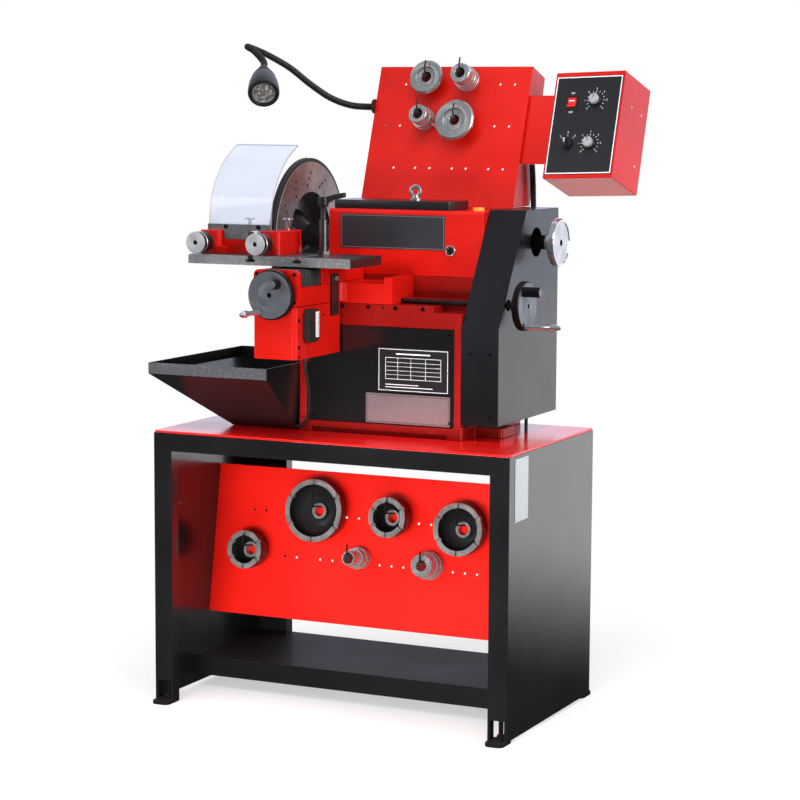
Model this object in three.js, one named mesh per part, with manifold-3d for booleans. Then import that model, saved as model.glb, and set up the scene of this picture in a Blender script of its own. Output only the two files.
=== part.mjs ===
// A brake lathe on its sheet metal bench, in millimetres, +Z up, with the operator's side towards -Y.
// Places are measured from the front left corner of the bench, at the underside of its side panels,
// and the finished group is moved at the end so that its origin is the middle of its footprint.
import * as THREE from "three";
import { mergeVertices } from "three/addons/utils/BufferGeometryUtils.js";
import { ConvexGeometry } from "three/addons/geometries/ConvexGeometry.js";
import Module from "manifold-3d";

const wasm = await Module();
wasm.setup();

// Clearances shared by all pieces
const gap = 0.3; // between pieces that touch
const overrun = 30; // how far a cutter runs past what it cuts
const bite = 1; // how deep joined shapes of one piece run into each other

// Counts of sides on round shapes
const largeSides = 36;
const wheelSides = 24;
const bodySides = 20;
const smallSides = 16;
const pinSides = 12;
const wireSides = 6;

// Driving sizes of the machine
const benchWidth = 900;
const benchDepth = 510;
const benchHeight = 640;
const benchTopThickness = 5;
const baseLeft = 300;
const baseFront = 160;
const baseLength = 411;
const baseDepth = 345;
const baseHeight = 303; // from the bench top to the ways
const riserSetback = 122; // from the base's front to the headstock's front
const riserHeight = 59; // from the ways to the headstock's seam
const headstockHeight = 152;
const headstockDepth = 192;
const headstockInset = 14; // from the base's left side
const coverWidth = 92; // the drive cover's width along the spindle
const spindleSetback = 96; // from the headstock's front to the spindle's axis
const spindleRise = 81; // from the headstock's seam to the spindle's axis
const rotorRadius = 177;
const rotorThickness = 13;
const rotorGapToBase = 84; // from the rotor's inner face to the base's left side
const handwheelRadius = 56;

// Places that follow from the driving sizes
const deck = benchHeight; // upper face of the bench
const ways = deck + baseHeight;
const seam = ways + riserHeight;
const headstockTop = seam + headstockHeight;
const headstockFront = baseFront + riserSetback;
const headstockLeft = baseLeft + headstockInset;
const baseRight = baseLeft + baseLength;
const coverRight = baseRight + coverWidth;
const spindleY = headstockFront + spindleSetback;
const spindleZ = seam + spindleRise;
const spindleAt = [spindleY, spindleZ];
const onSpindle = [0, spindleY, spindleZ];

// Materials
function paint(color, roughness, metalness) {
  return new THREE.MeshStandardMaterial({ color, roughness, metalness });
}
const red = paint(0xc8101a, 0.35, 0.1);
const black = paint(0x17181a, 0.4, 0.2);
const castBlack = paint(0x1d1d1f, 0.7, 0.3);
const steel = paint(0xa8abb0, 0.3, 0.9);
const zinc = paint(0xd5d8dc, 0.35, 0.8);
const iron = paint(0x77706a, 0.5, 0.8);
const rubber = paint(0x101012, 0.85, 0);
const aluminium = paint(0x9aa0a6, 0.4, 0.8);
const clear = paint(0xdfe8f2, 0.1, 0);
clear.transparent = true;
clear.opacity = 0.35;
const greyPaint = paint(0x8d9095, 0.5, 0.1);

// Solids from three.js geometry: shared vertices are merged and flat triangles are left out.
const weld = 0.001;
function solid(geometry) {
  const bare = geometry.clone();
  bare.deleteAttribute("normal");
  bare.deleteAttribute("uv");
  const merged = mergeVertices(bare, weld);
  const kept = [];
  const index = merged.index.array;
  for (let i = 0; i < index.length; i += 3) {
    const [a, b, c] = [index[i], index[i + 1], index[i + 2]];
    if (a !== b && b !== c && c !== a) kept.push(a, b, c);
  }
  return new wasm.Manifold(
    new wasm.Mesh({
      numProp: 3,
      vertProperties: merged.attributes.position.array,
      triVerts: new Uint32Array(kept),
    }),
  );
}

function join(...solids) {
  return solids.reduce((whole, next) => whole.add(next));
}

function cut(whole, ...cutters) {
  return cutters.reduce((left, next) => left.subtract(next), whole);
}

// The frame in which an outline is drawn and then pulled along one axis.
const axes = {
  x: new THREE.Matrix4().makeBasis(
    new THREE.Vector3(0, 1, 0), new THREE.Vector3(0, 0, 1), new THREE.Vector3(1, 0, 0)),
  y: new THREE.Matrix4().makeBasis(
    new THREE.Vector3(1, 0, 0), new THREE.Vector3(0, 0, 1), new THREE.Vector3(0, -1, 0)),
  z: new THREE.Matrix4(),
};

// A block between two values on each axis.
function block([x0, x1], [y0, y1], [z0, z1]) {
  const geometry = new THREE.BoxGeometry(x1 - x0, y1 - y0, z1 - z0);
  return solid(geometry.translate((x0 + x1) / 2, (y0 + y1) / 2, (z0 + z1) / 2));
}

// A prism: an outline of points in the plane square to an axis, from one value to another on it.
function prism(axis, [from, to], outline, holes = []) {
  const shape = new THREE.Shape(outline.map(([a, b]) => new THREE.Vector2(a, b)));
  shape.holes = holes.map((hole) => new THREE.Path(hole.map(([a, b]) => new THREE.Vector2(a, b))));
  const geometry = new THREE.ExtrudeGeometry(shape, { depth: to - from, bevelEnabled: false });
  geometry.translate(0, 0, axis === "y" ? -to : from);
  return solid(geometry.applyMatrix4(axes[axis]));
}

// Points on an arc, for outlines.
function arc([a, b], radius, from, to, steps) {
  const points = [];
  for (let i = 0; i <= steps; i += 1) {
    const angle = from + ((to - from) * i) / steps;
    points.push([a + radius * Math.cos(angle), b + radius * Math.sin(angle)]);
  }
  return points;
}

// A rectangle with round corners, for outlines.
function rounded([a0, a1], [b0, b1], radius, steps = 3) {
  const quarter = Math.PI / 2;
  return [
    ...arc([a1 - radius, b1 - radius], radius, 0, quarter, steps),
    ...arc([a0 + radius, b1 - radius], radius, quarter, 2 * quarter, steps),
    ...arc([a0 + radius, b0 + radius], radius, 2 * quarter, 3 * quarter, steps),
    ...arc([a1 - radius, b0 + radius], radius, 3 * quarter, 4 * quarter, steps),
  ];
}

// A body of revolution about an axis through the origin: points are [radius, place on the axis].
function turned(axis, profile, sides) {
  const points = profile.map(([r, h]) => new THREE.Vector2(r, h));
  if (THREE.ShapeUtils.isClockWise(points)) points.reverse();
  if (points[0].x > 0) points.push(points[0].clone());
  const geometry = new THREE.LatheGeometry(points, sides);
  if (axis === "x") geometry.rotateZ(-Math.PI / 2);
  if (axis === "z") geometry.rotateX(Math.PI / 2);
  return solid(geometry);
}

// A plain rod along an axis, round a centre given by its two other coordinates.
function rod(axis, [from, to], [a, b], radius, sides) {
  const turn = Math.PI * 2;
  const outline = arc([a, b], radius, 0, turn - turn / sides, sides - 1);
  return prism(axis, [from, to], outline);
}

// A round tube or wire through points.
function tube(points, radius, sides, steps) {
  const path = new THREE.CatmullRomCurve3(points.map((p) => new THREE.Vector3(...p)), false, "centripetal");
  const turn = Math.PI * 2;
  const section = arc([0, 0], radius, 0, turn - turn / sides, sides - 1);
  const shape = new THREE.Shape(section.map(([a, b]) => new THREE.Vector2(a, b)));
  return solid(new THREE.ExtrudeGeometry(shape, { steps, extrudePath: path, bevelEnabled: false }));
}

// A bore's polygon keeps its flats at the radius, so that what turns in it stays clear.
function around(radius, sides) {
  return radius / Math.cos(Math.PI / sides);
}

function drill(axis, reach, centre, radius, sides) {
  return rod(axis, reach, centre, around(radius, sides), sides);
}

// The convex shape round a list of points.
function hull(points) {
  return solid(new ConvexGeometry(points.map((p) => new THREE.Vector3(...p))));
}

// The eight corners between two values on each axis.
function corners([x0, x1], [y0, y1], [z0, z1]) {
  return [x0, x1].flatMap((x) => [y0, y1].flatMap((y) => [z0, z1].map((z) => [x, y, z])));
}

const machine = new THREE.Group();

function add(name, made, material, parent = machine, place = [0, 0, 0]) {
  const part = made.getMesh();
  const geometry = new THREE.BufferGeometry();
  geometry.setAttribute("position", new THREE.BufferAttribute(part.vertProperties, 3));
  geometry.setIndex(new THREE.BufferAttribute(part.triVerts, 1));
  geometry.computeVertexNormals();
  const mesh = new THREE.Mesh(geometry, material);
  mesh.name = name;
  mesh.position.set(...place);
  parent.add(mesh);
  return mesh;
}

// A group that leans back: its X is the machine's, its Y runs up the leaning face, its Z points out of it.
function leaning(place, lean) {
  const group = new THREE.Group();
  group.position.set(...place);
  group.rotation.x = Math.PI / 2 - lean;
  machine.add(group);
  return group;
}

// Bench frame, with its foot plates
const sheet = 3;
const postFace = 47;
const rearPostFace = 95;
const postReturn = 30;
const railFace = 42;
const padThickness = 8;
const padWidth = 45;
const padReach = 25;
const padInside = 40;
const padCorner = 12;
const padCornerSteps = 2;
const studRadius = 6;
const studHeight = 42;
const studNutRadius = 10;
const studNutHeight = 9;
const studInset = 24;
const footNotch = 34;
const footNotchHeight = 46;
const shelfSetback = 180;
const shelfBottom = 21;
const shelfTop = 68;
const frameTop = benchHeight - benchTopThickness - gap;
{
  const shells = [];
  for (const [x, side] of [[0, 1], [benchWidth, -1]]) {
    const along = (a, b) => [Math.min(x + side * a, x + side * b), Math.max(x + side * a, x + side * b)];
    shells.push(block(along(0, sheet), [0, benchDepth], [-bite, frameTop]));
    shells.push(block(along(0, postFace), [0, sheet], [-bite, frameTop]));
    shells.push(block(along(postFace - sheet, postFace), [0, postReturn], [-bite, frameTop]));
    shells.push(block(along(0, rearPostFace), [benchDepth - sheet, benchDepth], [-bite, frameTop]));
    shells.push(block(along(rearPostFace - sheet, rearPostFace), [benchDepth - postReturn, benchDepth],
      [-bite, frameTop]));
  }
  const railBottom = frameTop - railFace;
  for (const [y, side] of [[0, 1], [benchDepth, -1]]) {
    const along = (a, b) => [Math.min(y + side * a, y + side * b), Math.max(y + side * a, y + side * b)];
    shells.push(block([0, benchWidth], along(0, sheet), [railBottom, frameTop]));
    shells.push(block([0, benchWidth], along(0, postReturn), [railBottom, railBottom + sheet]));
  }
  shells.push(block([0, benchWidth], [shelfSetback, benchDepth], [shelfTop - sheet, shelfTop]));
  shells.push(block([0, benchWidth], [shelfSetback, shelfSetback + sheet], [shelfBottom, shelfTop]));
  shells.push(block([0, benchWidth], [benchDepth - sheet, benchDepth], [shelfBottom, shelfTop]));
  let frame = join(...shells);
  const notches = [];
  const feet = [];
  for (const [x, sideX] of [[0, 1], [benchWidth, -1]]) {
    for (const [y, sideY] of [[0, 1], [benchDepth, -1]]) {
      const studX = x + sideX * studInset;
      const studY = y + sideY * studInset;
      const padX = [studX - padWidth / 2, studX + padWidth / 2];
      const ends = [y - sideY * padReach, y + sideY * padInside];
      const behind = [y + sideY * sheet, y + sideY * benchDepth];
      const padY = [Math.min(...ends), Math.max(...ends)];
      notches.push(block([studX - footNotch / 2, studX + footNotch / 2],
        [Math.min(y, studY) - sheet, Math.max(y, studY) + sheet], [0, footNotchHeight])
        .subtract(block([studX - benchWidth, studX + benchWidth], [Math.min(...behind), Math.max(...behind)],
          [-overrun, benchHeight])));
      feet.push(prism("z", [-padThickness, 0], rounded(padX, padY, padCorner, padCornerSteps)));
      feet.push(rod("z", [-bite, studHeight], [studX, studY], studRadius, wireSides));
      feet.push(rod("z", [-bite, studNutHeight], [studX, studY], studNutRadius, wireSides));
    }
  }
  frame = join(cut(frame, ...notches), ...feet);
  add("bench_frame", frame, black);
}

// Bench top, with the hole that the supply cable goes through
const supplyInset = 13; // from the drive cover's right side
const supplySetback = 200; // from the base's front
const supplyX = coverRight - supplyInset;
const supplyY = baseFront + supplySetback;
const supplyRadius = 4;
const topCorner = 6;
add("bench_top", prism("z", [deck - benchTopThickness, deck],
  rounded([0, benchWidth], [0, benchDepth], topCorner)), red);

// Hanging adapters: cups, collars and cones with one bore, on wire hooks
const bore = 25.4 / 2;
const wireRadius = 2;
const wireBend = 6;
const hookSteps = 8;

// A wire hook out of a board, through a bore and up in front of it.
function hook([x, s], reach, rise) {
  const height = s + bore - wireRadius - gap;
  return tube([
    [x, height, -bite],
    [x, height, reach / 2],
    [x, height, reach - wireBend],
    [x, height + wireBend / 2, reach - wireRadius],
    [x, height + wireBend + wireRadius, reach],
    [x, height + rise, reach],
  ], wireRadius, wireSides, hookSteps);
}

const cupWall = 8;
const hubRadius = 19;
const hubRecess = 33;
const rimLand = 13;
const rimBand = 14;
const notchWidth = 7;
const notchDepth = 7;
const notchCount = 6;
const firstNotchShare = 1 / 4; // of the angle between two notches
const cupSteps = 3;
const cupLarge = 60; // rims above this radius get more sides

// A cast clamping cup, open towards +Z, with a notched rim and a bored hub.
function cup(rim, depth) {
  const sides = rim > cupLarge ? bodySides : smallSides;
  const back = hubRadius + cupWall;
  const eye = around(bore, sides);
  const quarter = Math.PI / 2;
  const outerArc = [];
  const innerArc = [];
  for (let i = 0; i <= cupSteps; i += 1) {
    const angle = (quarter * i) / cupSteps;
    outerArc.push([back + (rim - back) * Math.sin(angle), (depth - rimBand) * (1 - Math.cos(angle))]);
    innerArc.unshift([hubRadius + (rim - rimLand - hubRadius) * Math.sin(angle),
      cupWall + (depth - rimBand - cupWall) * (1 - Math.cos(angle))]);
  }
  const profile = [
    [eye, 0], ...outerArc, [rim, depth], [rim - rimLand, depth], ...innerArc,
    [hubRadius, depth - hubRecess], [eye, depth - hubRecess],
  ];
  let made = turned("z", profile, sides);
  for (let i = 0; i < notchCount / 2; i += 1) {
    const geometry = new THREE.BoxGeometry(rim * 2 + overrun, notchWidth, notchDepth * 2);
    geometry.rotateZ((Math.PI * 2 * (i + firstNotchShare)) / notchCount);
    made = made.subtract(solid(geometry.translate(0, 0, depth)));
  }
  return made;
}

const backShare = 0.3;
const middleShare = 0.55;

// A turned collar with steps that widen towards the board.
function collar(face, back, length) {
  const eye = around(bore, smallSides);
  const steps = [[back, backShare], [(face + back * 2) / 3, middleShare], [face, 1]];
  const profile = [[eye, 0]];
  for (const [radius, share] of steps) {
    const from = profile[profile.length - 1][1];
    profile.push([radius, from], [radius, length * share]);
  }
  profile.push([eye, length]);
  return turned("z", profile, smallSides);
}

const coneBackRadius = 22;
const coneBackShare = 0.5;
const coneRimShare = 0.72;
const coneRimBand = 4;
const coneDish = 5;
const coneHubShare = 0.5;

// A centring cone with a dished machined face.
function cone(radius, length) {
  const eye = around(bore, bodySides);
  const hub = radius * coneHubShare;
  const profile = [
    [eye, 0], [coneBackRadius, 0], [coneBackRadius, length * coneBackShare], [radius, length * coneRimShare],
    [radius, length - coneRimBand], [radius - coneRimBand, length], [hub + coneRimBand, length],
    [hub, length - coneDish], [eye, length - coneDish],
  ];
  return turned("z", profile, bodySides);
}

// Bench tool board, between the side panels
const boardLean = (9.5 * Math.PI) / 180;
const benchBoardFront = 249;
const benchBoardFoot = 164;
const benchBoardLength = 362;
const boardFold = 25;
const hookPast = 10;
const benchBoard = leaning([0, benchBoardFront, benchBoardFoot], boardLean);
const benchHooks = {
  bell_large: { at: [292, 266], radius: 75, length: 50, rise: 42 },
  bell_left: { at: [118, 159], radius: 46, length: 58, rise: 26 },
  bell_middle: { at: [490, 265], radius: 47.5, length: 58, rise: 28 },
  bell_right: { at: [670, 251], radius: 62, length: 50, rise: 40 },
  collar_left: { at: [405, 162], radius: 17.5, back: 26, length: 72, rise: 24 },
  collar_right: { at: [590, 160], radius: 27.5, back: 33, length: 62, rise: 24 },
};
{
  const inside = [sheet + gap, benchWidth - sheet - gap];
  let board = join(
    block(inside, [0, benchBoardLength], [-sheet, 0]),
    block(inside, [0, sheet], [-boardFold, 0]),
    block(inside, [benchBoardLength - sheet, benchBoardLength], [-boardFold, 0]),
  );
  for (const { at, length, rise } of Object.values(benchHooks)) {
    board = board.add(hook(at, length + hookPast, rise));
  }
  add("bench_board", board, red, benchBoard);
}
for (const [name, { at, radius, back, length }] of Object.entries(benchHooks)) {
  const made = back ? collar(radius, back, length) : cup(radius, length);
  add(name, made, back ? steel : castBlack, benchBoard, [...at, gap]);
}

// Base casting: a hollow pedestal with the ways on its front part and a riser behind them
const plinthHeight = 30;
const plinthReach = 5;
const lugReach = 72;
const lugFront = 72; // from the base's front
const lugBack = 152;
const lugHeight = 22;
const baseWall = 12;
const windowSide = 17;
const windowBottom = 26;
const windowTop = 252;
const baseStep = 70; // length of the lower right end of the ways
const baseStepDrop = 15;
const troughWidth = 22;
const screwSetback = 55; // from the base's front to the lead screw
const screwRise = 5; // from the ways to the lead screw
const screwY = baseFront + screwSetback;
const screwZ = ways + screwRise;
const screwRadius = 7;
const troughRadius = 11;
const railWidth = 24;
const railFlare = 5;
const railHeight = 11;
const railSetback = 90; // from the base's front
const railY = baseFront + railSetback;
const railFoot = [railY - railWidth / 2, railY + railWidth / 2];
const underFloor = 10;
const toeInset = 34; // the recess under the plinth's front
const toeDepth = 7;
const motorShaftRadius = 12;
const motorSetback = 18; // the motor's axis in front of the spindle's
const motorRise = 135; // from the bench top
const motorY = spindleY - motorSetback;
const motorZ = deck + motorRise;
const motorHole = 20;
const baseBottom = deck + gap;
const baseBack = baseFront + baseDepth;
const lowWays = ways - baseStepDrop;
{
  const outline = [
    [baseFront, baseBottom], [baseFront, ways], [headstockFront, ways], [headstockFront, seam],
    [baseBack, seam], [baseBack, baseBottom],
  ];
  const room = [baseLeft + baseWall, baseRight - baseWall];
  const floor = baseBottom + underFloor;
  const trough = [screwY - troughWidth / 2, screwY + troughWidth / 2];
  let casting = join(
    prism("x", [baseLeft, baseRight], outline),
    prism("z", [baseBottom, baseBottom + plinthHeight],
      rounded([baseLeft - bite, baseRight + plinthReach],
        [baseFront - plinthReach, baseBack + plinthReach], topCorner)),
    prism("z", [baseBottom, baseBottom + lugHeight],
      rounded([baseRight - baseWall, baseRight + lugReach],
        [baseFront + lugFront, baseFront + lugBack], padCorner)),
    prism("x", [baseLeft, baseRight - bite], [
      [railFoot[0], lowWays - bite], [railFoot[0], ways], [railFoot[0] - railFlare, ways + railHeight],
      [railFoot[1] + railFlare, ways + railHeight], [railFoot[1], ways], [railFoot[1], lowWays - bite],
    ]),
  );
  casting = cut(
    casting,
    block(room, [baseFront + baseWall, baseBack - baseWall], [floor, lowWays - baseWall]),
    block(room, [headstockFront + baseWall, baseBack - baseWall], [floor, seam - baseWall]),
    block([baseLeft + windowSide, baseRight - windowSide],
      [baseFront - overrun, baseFront + baseWall + bite], [deck + windowBottom, deck + windowTop]),
    block([baseRight - baseStep, baseRight + overrun],
      [baseFront - overrun, railFoot[0] - railFlare - gap], [lowWays, ways + overrun]),
    block([headstockLeft + baseWall, baseRight + overrun], trough, [screwZ - troughRadius, ways + overrun]),
    rod("x", [baseRight - baseWall - overrun, baseRight + overrun], [motorY, motorZ], motorHole, pinSides),
    block([baseLeft + toeInset, baseRight - toeInset],
      [baseFront - overrun, baseFront + toeDepth], [baseBottom - overrun, floor]),
  );
  add("base_casting", casting, red);
}

// Cover plate in the front window of the base
const coverRecess = 3;
const coverThickness = 3;
add("base_cover", block([baseLeft + windowSide + gap, baseRight - windowSide - gap],
  [baseFront + coverRecess, baseFront + coverRecess + coverThickness],
  [deck + windowBottom + gap, deck + windowTop - gap]), black);

// Headstock, bored for the spindle cartridge
const headstockChamfer = 6;
const cartridgeRadius = 46;
const noseBossRadius = 68;
const noseBoss = 7;
const plugRadius = 12.5;
const plugReach = 3;
const plugInset = 82.4; // from the headstock's right end
const plugDrop = 92; // from the headstock's top
const plugX = baseRight - plugInset;
const plugZ = headstockTop - plugDrop;
const headstockBack = headstockFront + headstockDepth;
{
  const outline = [
    [headstockFront, seam + gap], [headstockFront, headstockTop - headstockChamfer],
    [headstockFront + headstockChamfer, headstockTop], [headstockBack - headstockChamfer, headstockTop],
    [headstockBack, headstockTop - headstockChamfer], [headstockBack, seam + gap],
  ];
  let headstock = join(
    prism("x", [headstockLeft, baseRight], outline),
    rod("x", [headstockLeft - noseBoss, headstockLeft + bite], spindleAt, noseBossRadius, wheelSides),
    rod("y", [headstockFront - plugReach, headstockFront + bite], [plugX, plugZ], plugRadius, smallSides),
  );
  headstock = cut(headstock,
    drill("x", [headstockLeft - overrun, baseRight + overrun], spindleAt, cartridgeRadius, wheelSides));
  add("headstock", headstock, red);
}

// Cap plate on the headstock, with the lifting eye screwed into it
const capInset = 8;
const capRightInset = 42;
const capThickness = 20;
const capFrontInset = 8;
const capBackInset = 24;
const capCorner = 8;
const eyeInset = 202.5; // from the headstock's left end
const eyeSetback = 48; // from the headstock's front
const eyeX = headstockLeft + eyeInset;
const eyeY = headstockFront + eyeSetback;
const eyeRadius = 11.5;
const eyeWire = 5;
const eyeShank = 8;
const eyeCollar = 14;
const eyeCollarHeight = 5;
{
  const bottom = headstockTop + gap;
  const top = bottom + capThickness;
  const ring = new THREE.TorusGeometry(eyeRadius, eyeWire, wireSides, smallSides);
  ring.rotateX(Math.PI / 2).translate(eyeX, eyeY, top + eyeCollarHeight + eyeRadius + eyeWire - bite);
  const cap = join(
    prism("z", [bottom, top], rounded([headstockLeft + capInset, baseRight - capRightInset],
      [headstockFront + capFrontInset, headstockBack - capBackInset], capCorner)),
    rod("z", [top - bite, top + eyeCollarHeight], [eyeX, eyeY], eyeCollar, pinSides),
    rod("z", [top - bite, top + eyeCollarHeight + eyeWire], [eyeX, eyeY], eyeShank, pinSides),
    solid(ring),
  );
  add("headstock_cap", cap, black);
}

// Spindle cartridge with its two bearings
const spindleRadius = 27;
const cartridgeFlange = 58;
const cartridgeFlangeThickness = 8;
const bearingWidth = 30;
const bearingSeat = 7;
{
  const from = headstockLeft - noseBoss - gap - cartridgeFlangeThickness;
  const to = baseRight;
  const outer = cartridgeRadius - gap;
  const inner = around(spindleRadius + gap, bodySides);
  const profile = [
    [inner, from], [cartridgeFlange, from], [cartridgeFlange, from + cartridgeFlangeThickness],
    [outer, from + cartridgeFlangeThickness], [outer, to], [inner, to],
    [inner, to - bearingWidth], [inner + bearingSeat, to - bearingWidth],
    [inner + bearingSeat, from + bearingWidth], [inner, from + bearingWidth],
  ];
  add("spindle_bearings", turned("x", profile, bodySides), steel, machine, onSpindle);
}

// Spindle with its nose and its belt pulley
const noseLength = 20;
const noseRadius = 40;
const pulleyInset = 39; // from the base's right side to the pulley's middle
const pulleyX = baseRight + pulleyInset;
const pulleyWidth = 30;
const beltWidth = 12;
const grooveWidth = 14;
const spindlePulley = 72;
const spindlePulleyGroove = 58;
const drawBarRadius = 8;
const drawBarGap = 0.4;
const arborTail = 60;
const spindleTail = 26; // from the pulley's middle to the spindle's end
const spindleEnd = pulleyX + spindleTail;
const noseEnd = headstockLeft - noseBoss - gap - cartridgeFlangeThickness - gap;
const noseStart = noseEnd - noseLength;
// The rim of a belt pulley with one groove, as part of a turned profile.
function pulleyRim(outer, groove) {
  const [from, to] = [pulleyX - pulleyWidth / 2, pulleyX + pulleyWidth / 2];
  const [low, high] = [pulleyX - grooveWidth / 2, pulleyX + grooveWidth / 2];
  return [[outer, from], [outer, low], [groove, low], [groove, high], [outer, high], [outer, to]];
}
{
  const profile = [
    [bore + gap, noseStart], [noseRadius, noseStart], [noseRadius, noseEnd], [spindleRadius, noseEnd],
    [spindleRadius, pulleyX - pulleyWidth / 2], ...pulleyRim(spindlePulley, spindlePulleyGroove),
    [spindleRadius, pulleyX + pulleyWidth / 2], [spindleRadius, spindleEnd],
    [drawBarRadius + drawBarGap, spindleEnd], [drawBarRadius + drawBarGap, noseStart + arborTail],
    [bore + gap, noseStart + arborTail],
  ];
  add("spindle", turned("x", profile, smallSides), steel, machine, onSpindle);
}

// Draw wheel at the right end, with the draw bar that holds the arbor in the spindle
const drawWheelInset = 39; // from the drive cover's right side
const drawWheelX = coverRight + drawWheelInset;
const drawWheelThickness = 24;
const drawShaftRadius = 16.5;
const drawRim = 13;
const drawDish = 7;
const drawHub = 20;
const drawEdge = 2; // chamfer of the rim
const socketRadius = 7;
const socketDepth = 8;
{
  const face = drawWheelX + drawWheelThickness;
  const profile = [
    [0, noseStart + arborTail], [drawBarRadius, noseStart + arborTail], [drawBarRadius, spindleEnd + gap],
    [drawShaftRadius, spindleEnd + gap], [drawShaftRadius, drawWheelX + drawDish],
    [handwheelRadius - drawRim, drawWheelX + drawDish], [handwheelRadius - drawRim + bite, drawWheelX],
    [handwheelRadius - drawEdge, drawWheelX], [handwheelRadius, drawWheelX + drawEdge],
    [handwheelRadius, face - drawEdge], [handwheelRadius - drawEdge, face],
    [drawHub, face], [socketRadius, face], [socketRadius, face - socketDepth], [0, face - socketDepth],
  ];
  add("draw_wheel", turned("x", profile, wheelSides), zinc, machine, onSpindle);
}

// Arbor with its backing bell, the rotor, its rubber band and the outer bell with spacer and nut
const rotorRight = baseLeft - rotorGapToBase;
const rotorLeft = rotorRight - rotorThickness;
const hatOuter = 110;
const hatWall = 6;
const hatDepth = 45;
const hatPlate = 8;
const hatBore = 32;
const hatFace = rotorLeft - hatDepth; // the hat's left face
const bellRim = 62;
const bellDepth = 46;
const bellHub = 26;
const bellWall = 9;
const bellMouth = bellRim - bellWall;
const arborPast = 100; // from the hat's face to the arbor's free end
const arborEnd = hatFace - arborPast;
const arborThreadRadius = 11;
{
  const seat = hatFace + hatPlate + gap;
  const profile = [
    [0, arborEnd], [arborThreadRadius, arborEnd], [bore, arborEnd + arborThreadRadius / 2],
    [bore, seat + bellWall], [bellMouth, seat + bellWall], [bellMouth, seat], [bellRim, seat],
    [bellRim, seat + bellWall], [bellHub, seat + bellDepth], [bellHub, noseStart - gap],
    [bore, noseStart - gap], [bore, noseStart + arborTail - gap], [0, noseStart + arborTail - gap],
  ];
  add("arbor", turned("x", profile, smallSides), steel, machine, onSpindle);
}

const lugBolts = 5;
const lugBoltRadius = 6.5;
const lugCircle = 84;
const drillRadius = 3.2;
const drillSides = 5;
const drillRows = [150, 137, 122];
const drillGroups = 12;
const drillLean = 0.075;
{
  const profile = [
    [hatBore, hatFace], [hatOuter, hatFace], [hatOuter, rotorLeft], [rotorRadius, rotorLeft],
    [rotorRadius, rotorRight], [hatOuter - hatWall, rotorRight], [hatOuter - hatWall, hatFace + hatPlate],
    [hatBore, hatFace + hatPlate],
  ];
  let rotor = turned("x", profile, largeSides);
  const drills = [];
  const turn = Math.PI * 2;
  for (let i = 0; i < lugBolts; i += 1) {
    const angle = (turn * i) / lugBolts;
    drills.push(rod("x", [hatFace - overrun, hatFace + hatPlate + overrun / 2],
      [lugCircle * Math.cos(angle), lugCircle * Math.sin(angle)], lugBoltRadius, wireSides));
  }
  for (let i = 0; i < drillGroups; i += 1) {
    drillRows.forEach((radius, row) => {
      const angle = (turn * i) / drillGroups + row * drillLean;
      drills.push(rod("x", [rotorLeft - overrun / 2, rotorRight + overrun],
        [radius * Math.cos(angle), radius * Math.sin(angle)], drillRadius, drillSides));
    });
  }
  rotor = cut(rotor, ...drills);
  add("rotor", rotor, iron, machine, onSpindle);
}

const bandThickness = 8;
const bandLip = 2;
const bandStudRadius = 5;
const bandStudHeight = 4;
{
  const inner = rotorRadius + gap;
  const profile = [
    [inner, rotorLeft - bandLip], [inner + bandThickness, rotorLeft - bandLip],
    [inner + bandThickness, rotorRight - bandLip], [inner, rotorRight - bandLip],
  ];
  const stud = rod("z", [inner + bandThickness - bite, inner + bandThickness + bandStudHeight],
    [(rotorLeft + rotorRight) / 2 - bandLip, 0], bandStudRadius, wireSides);
  add("silencer_band", join(turned("x", profile, largeSides), stud), rubber, machine, onSpindle);
}

const spacerRadius = 22;
const spacerLength = 30;
const arborNutRadius = 23;
const arborNutThickness = 20;
{
  const seat = hatFace - gap;
  const nutFrom = seat - bellDepth - spacerLength;
  const profile = [
    [bore + gap, nutFrom], [spacerRadius, nutFrom],
    [spacerRadius, seat - bellDepth], [bellHub, seat - bellDepth], [bellRim, seat - bellWall],
    [bellRim, seat], [bellMouth, seat], [bellMouth, seat - bellWall], [bore + gap, seat - bellWall],
  ];
  const nut = cut(
    rod("x", [nutFrom - arborNutThickness + bite, nutFrom + bite], [0, 0], arborNutRadius, wireSides),
    rod("x", [nutFrom - overrun, nutFrom + overrun], [0, 0], bore + gap, smallSides),
  );
  add("outer_bell", join(turned("x", profile, smallSides), nut), castBlack, machine, onSpindle);
}

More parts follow.
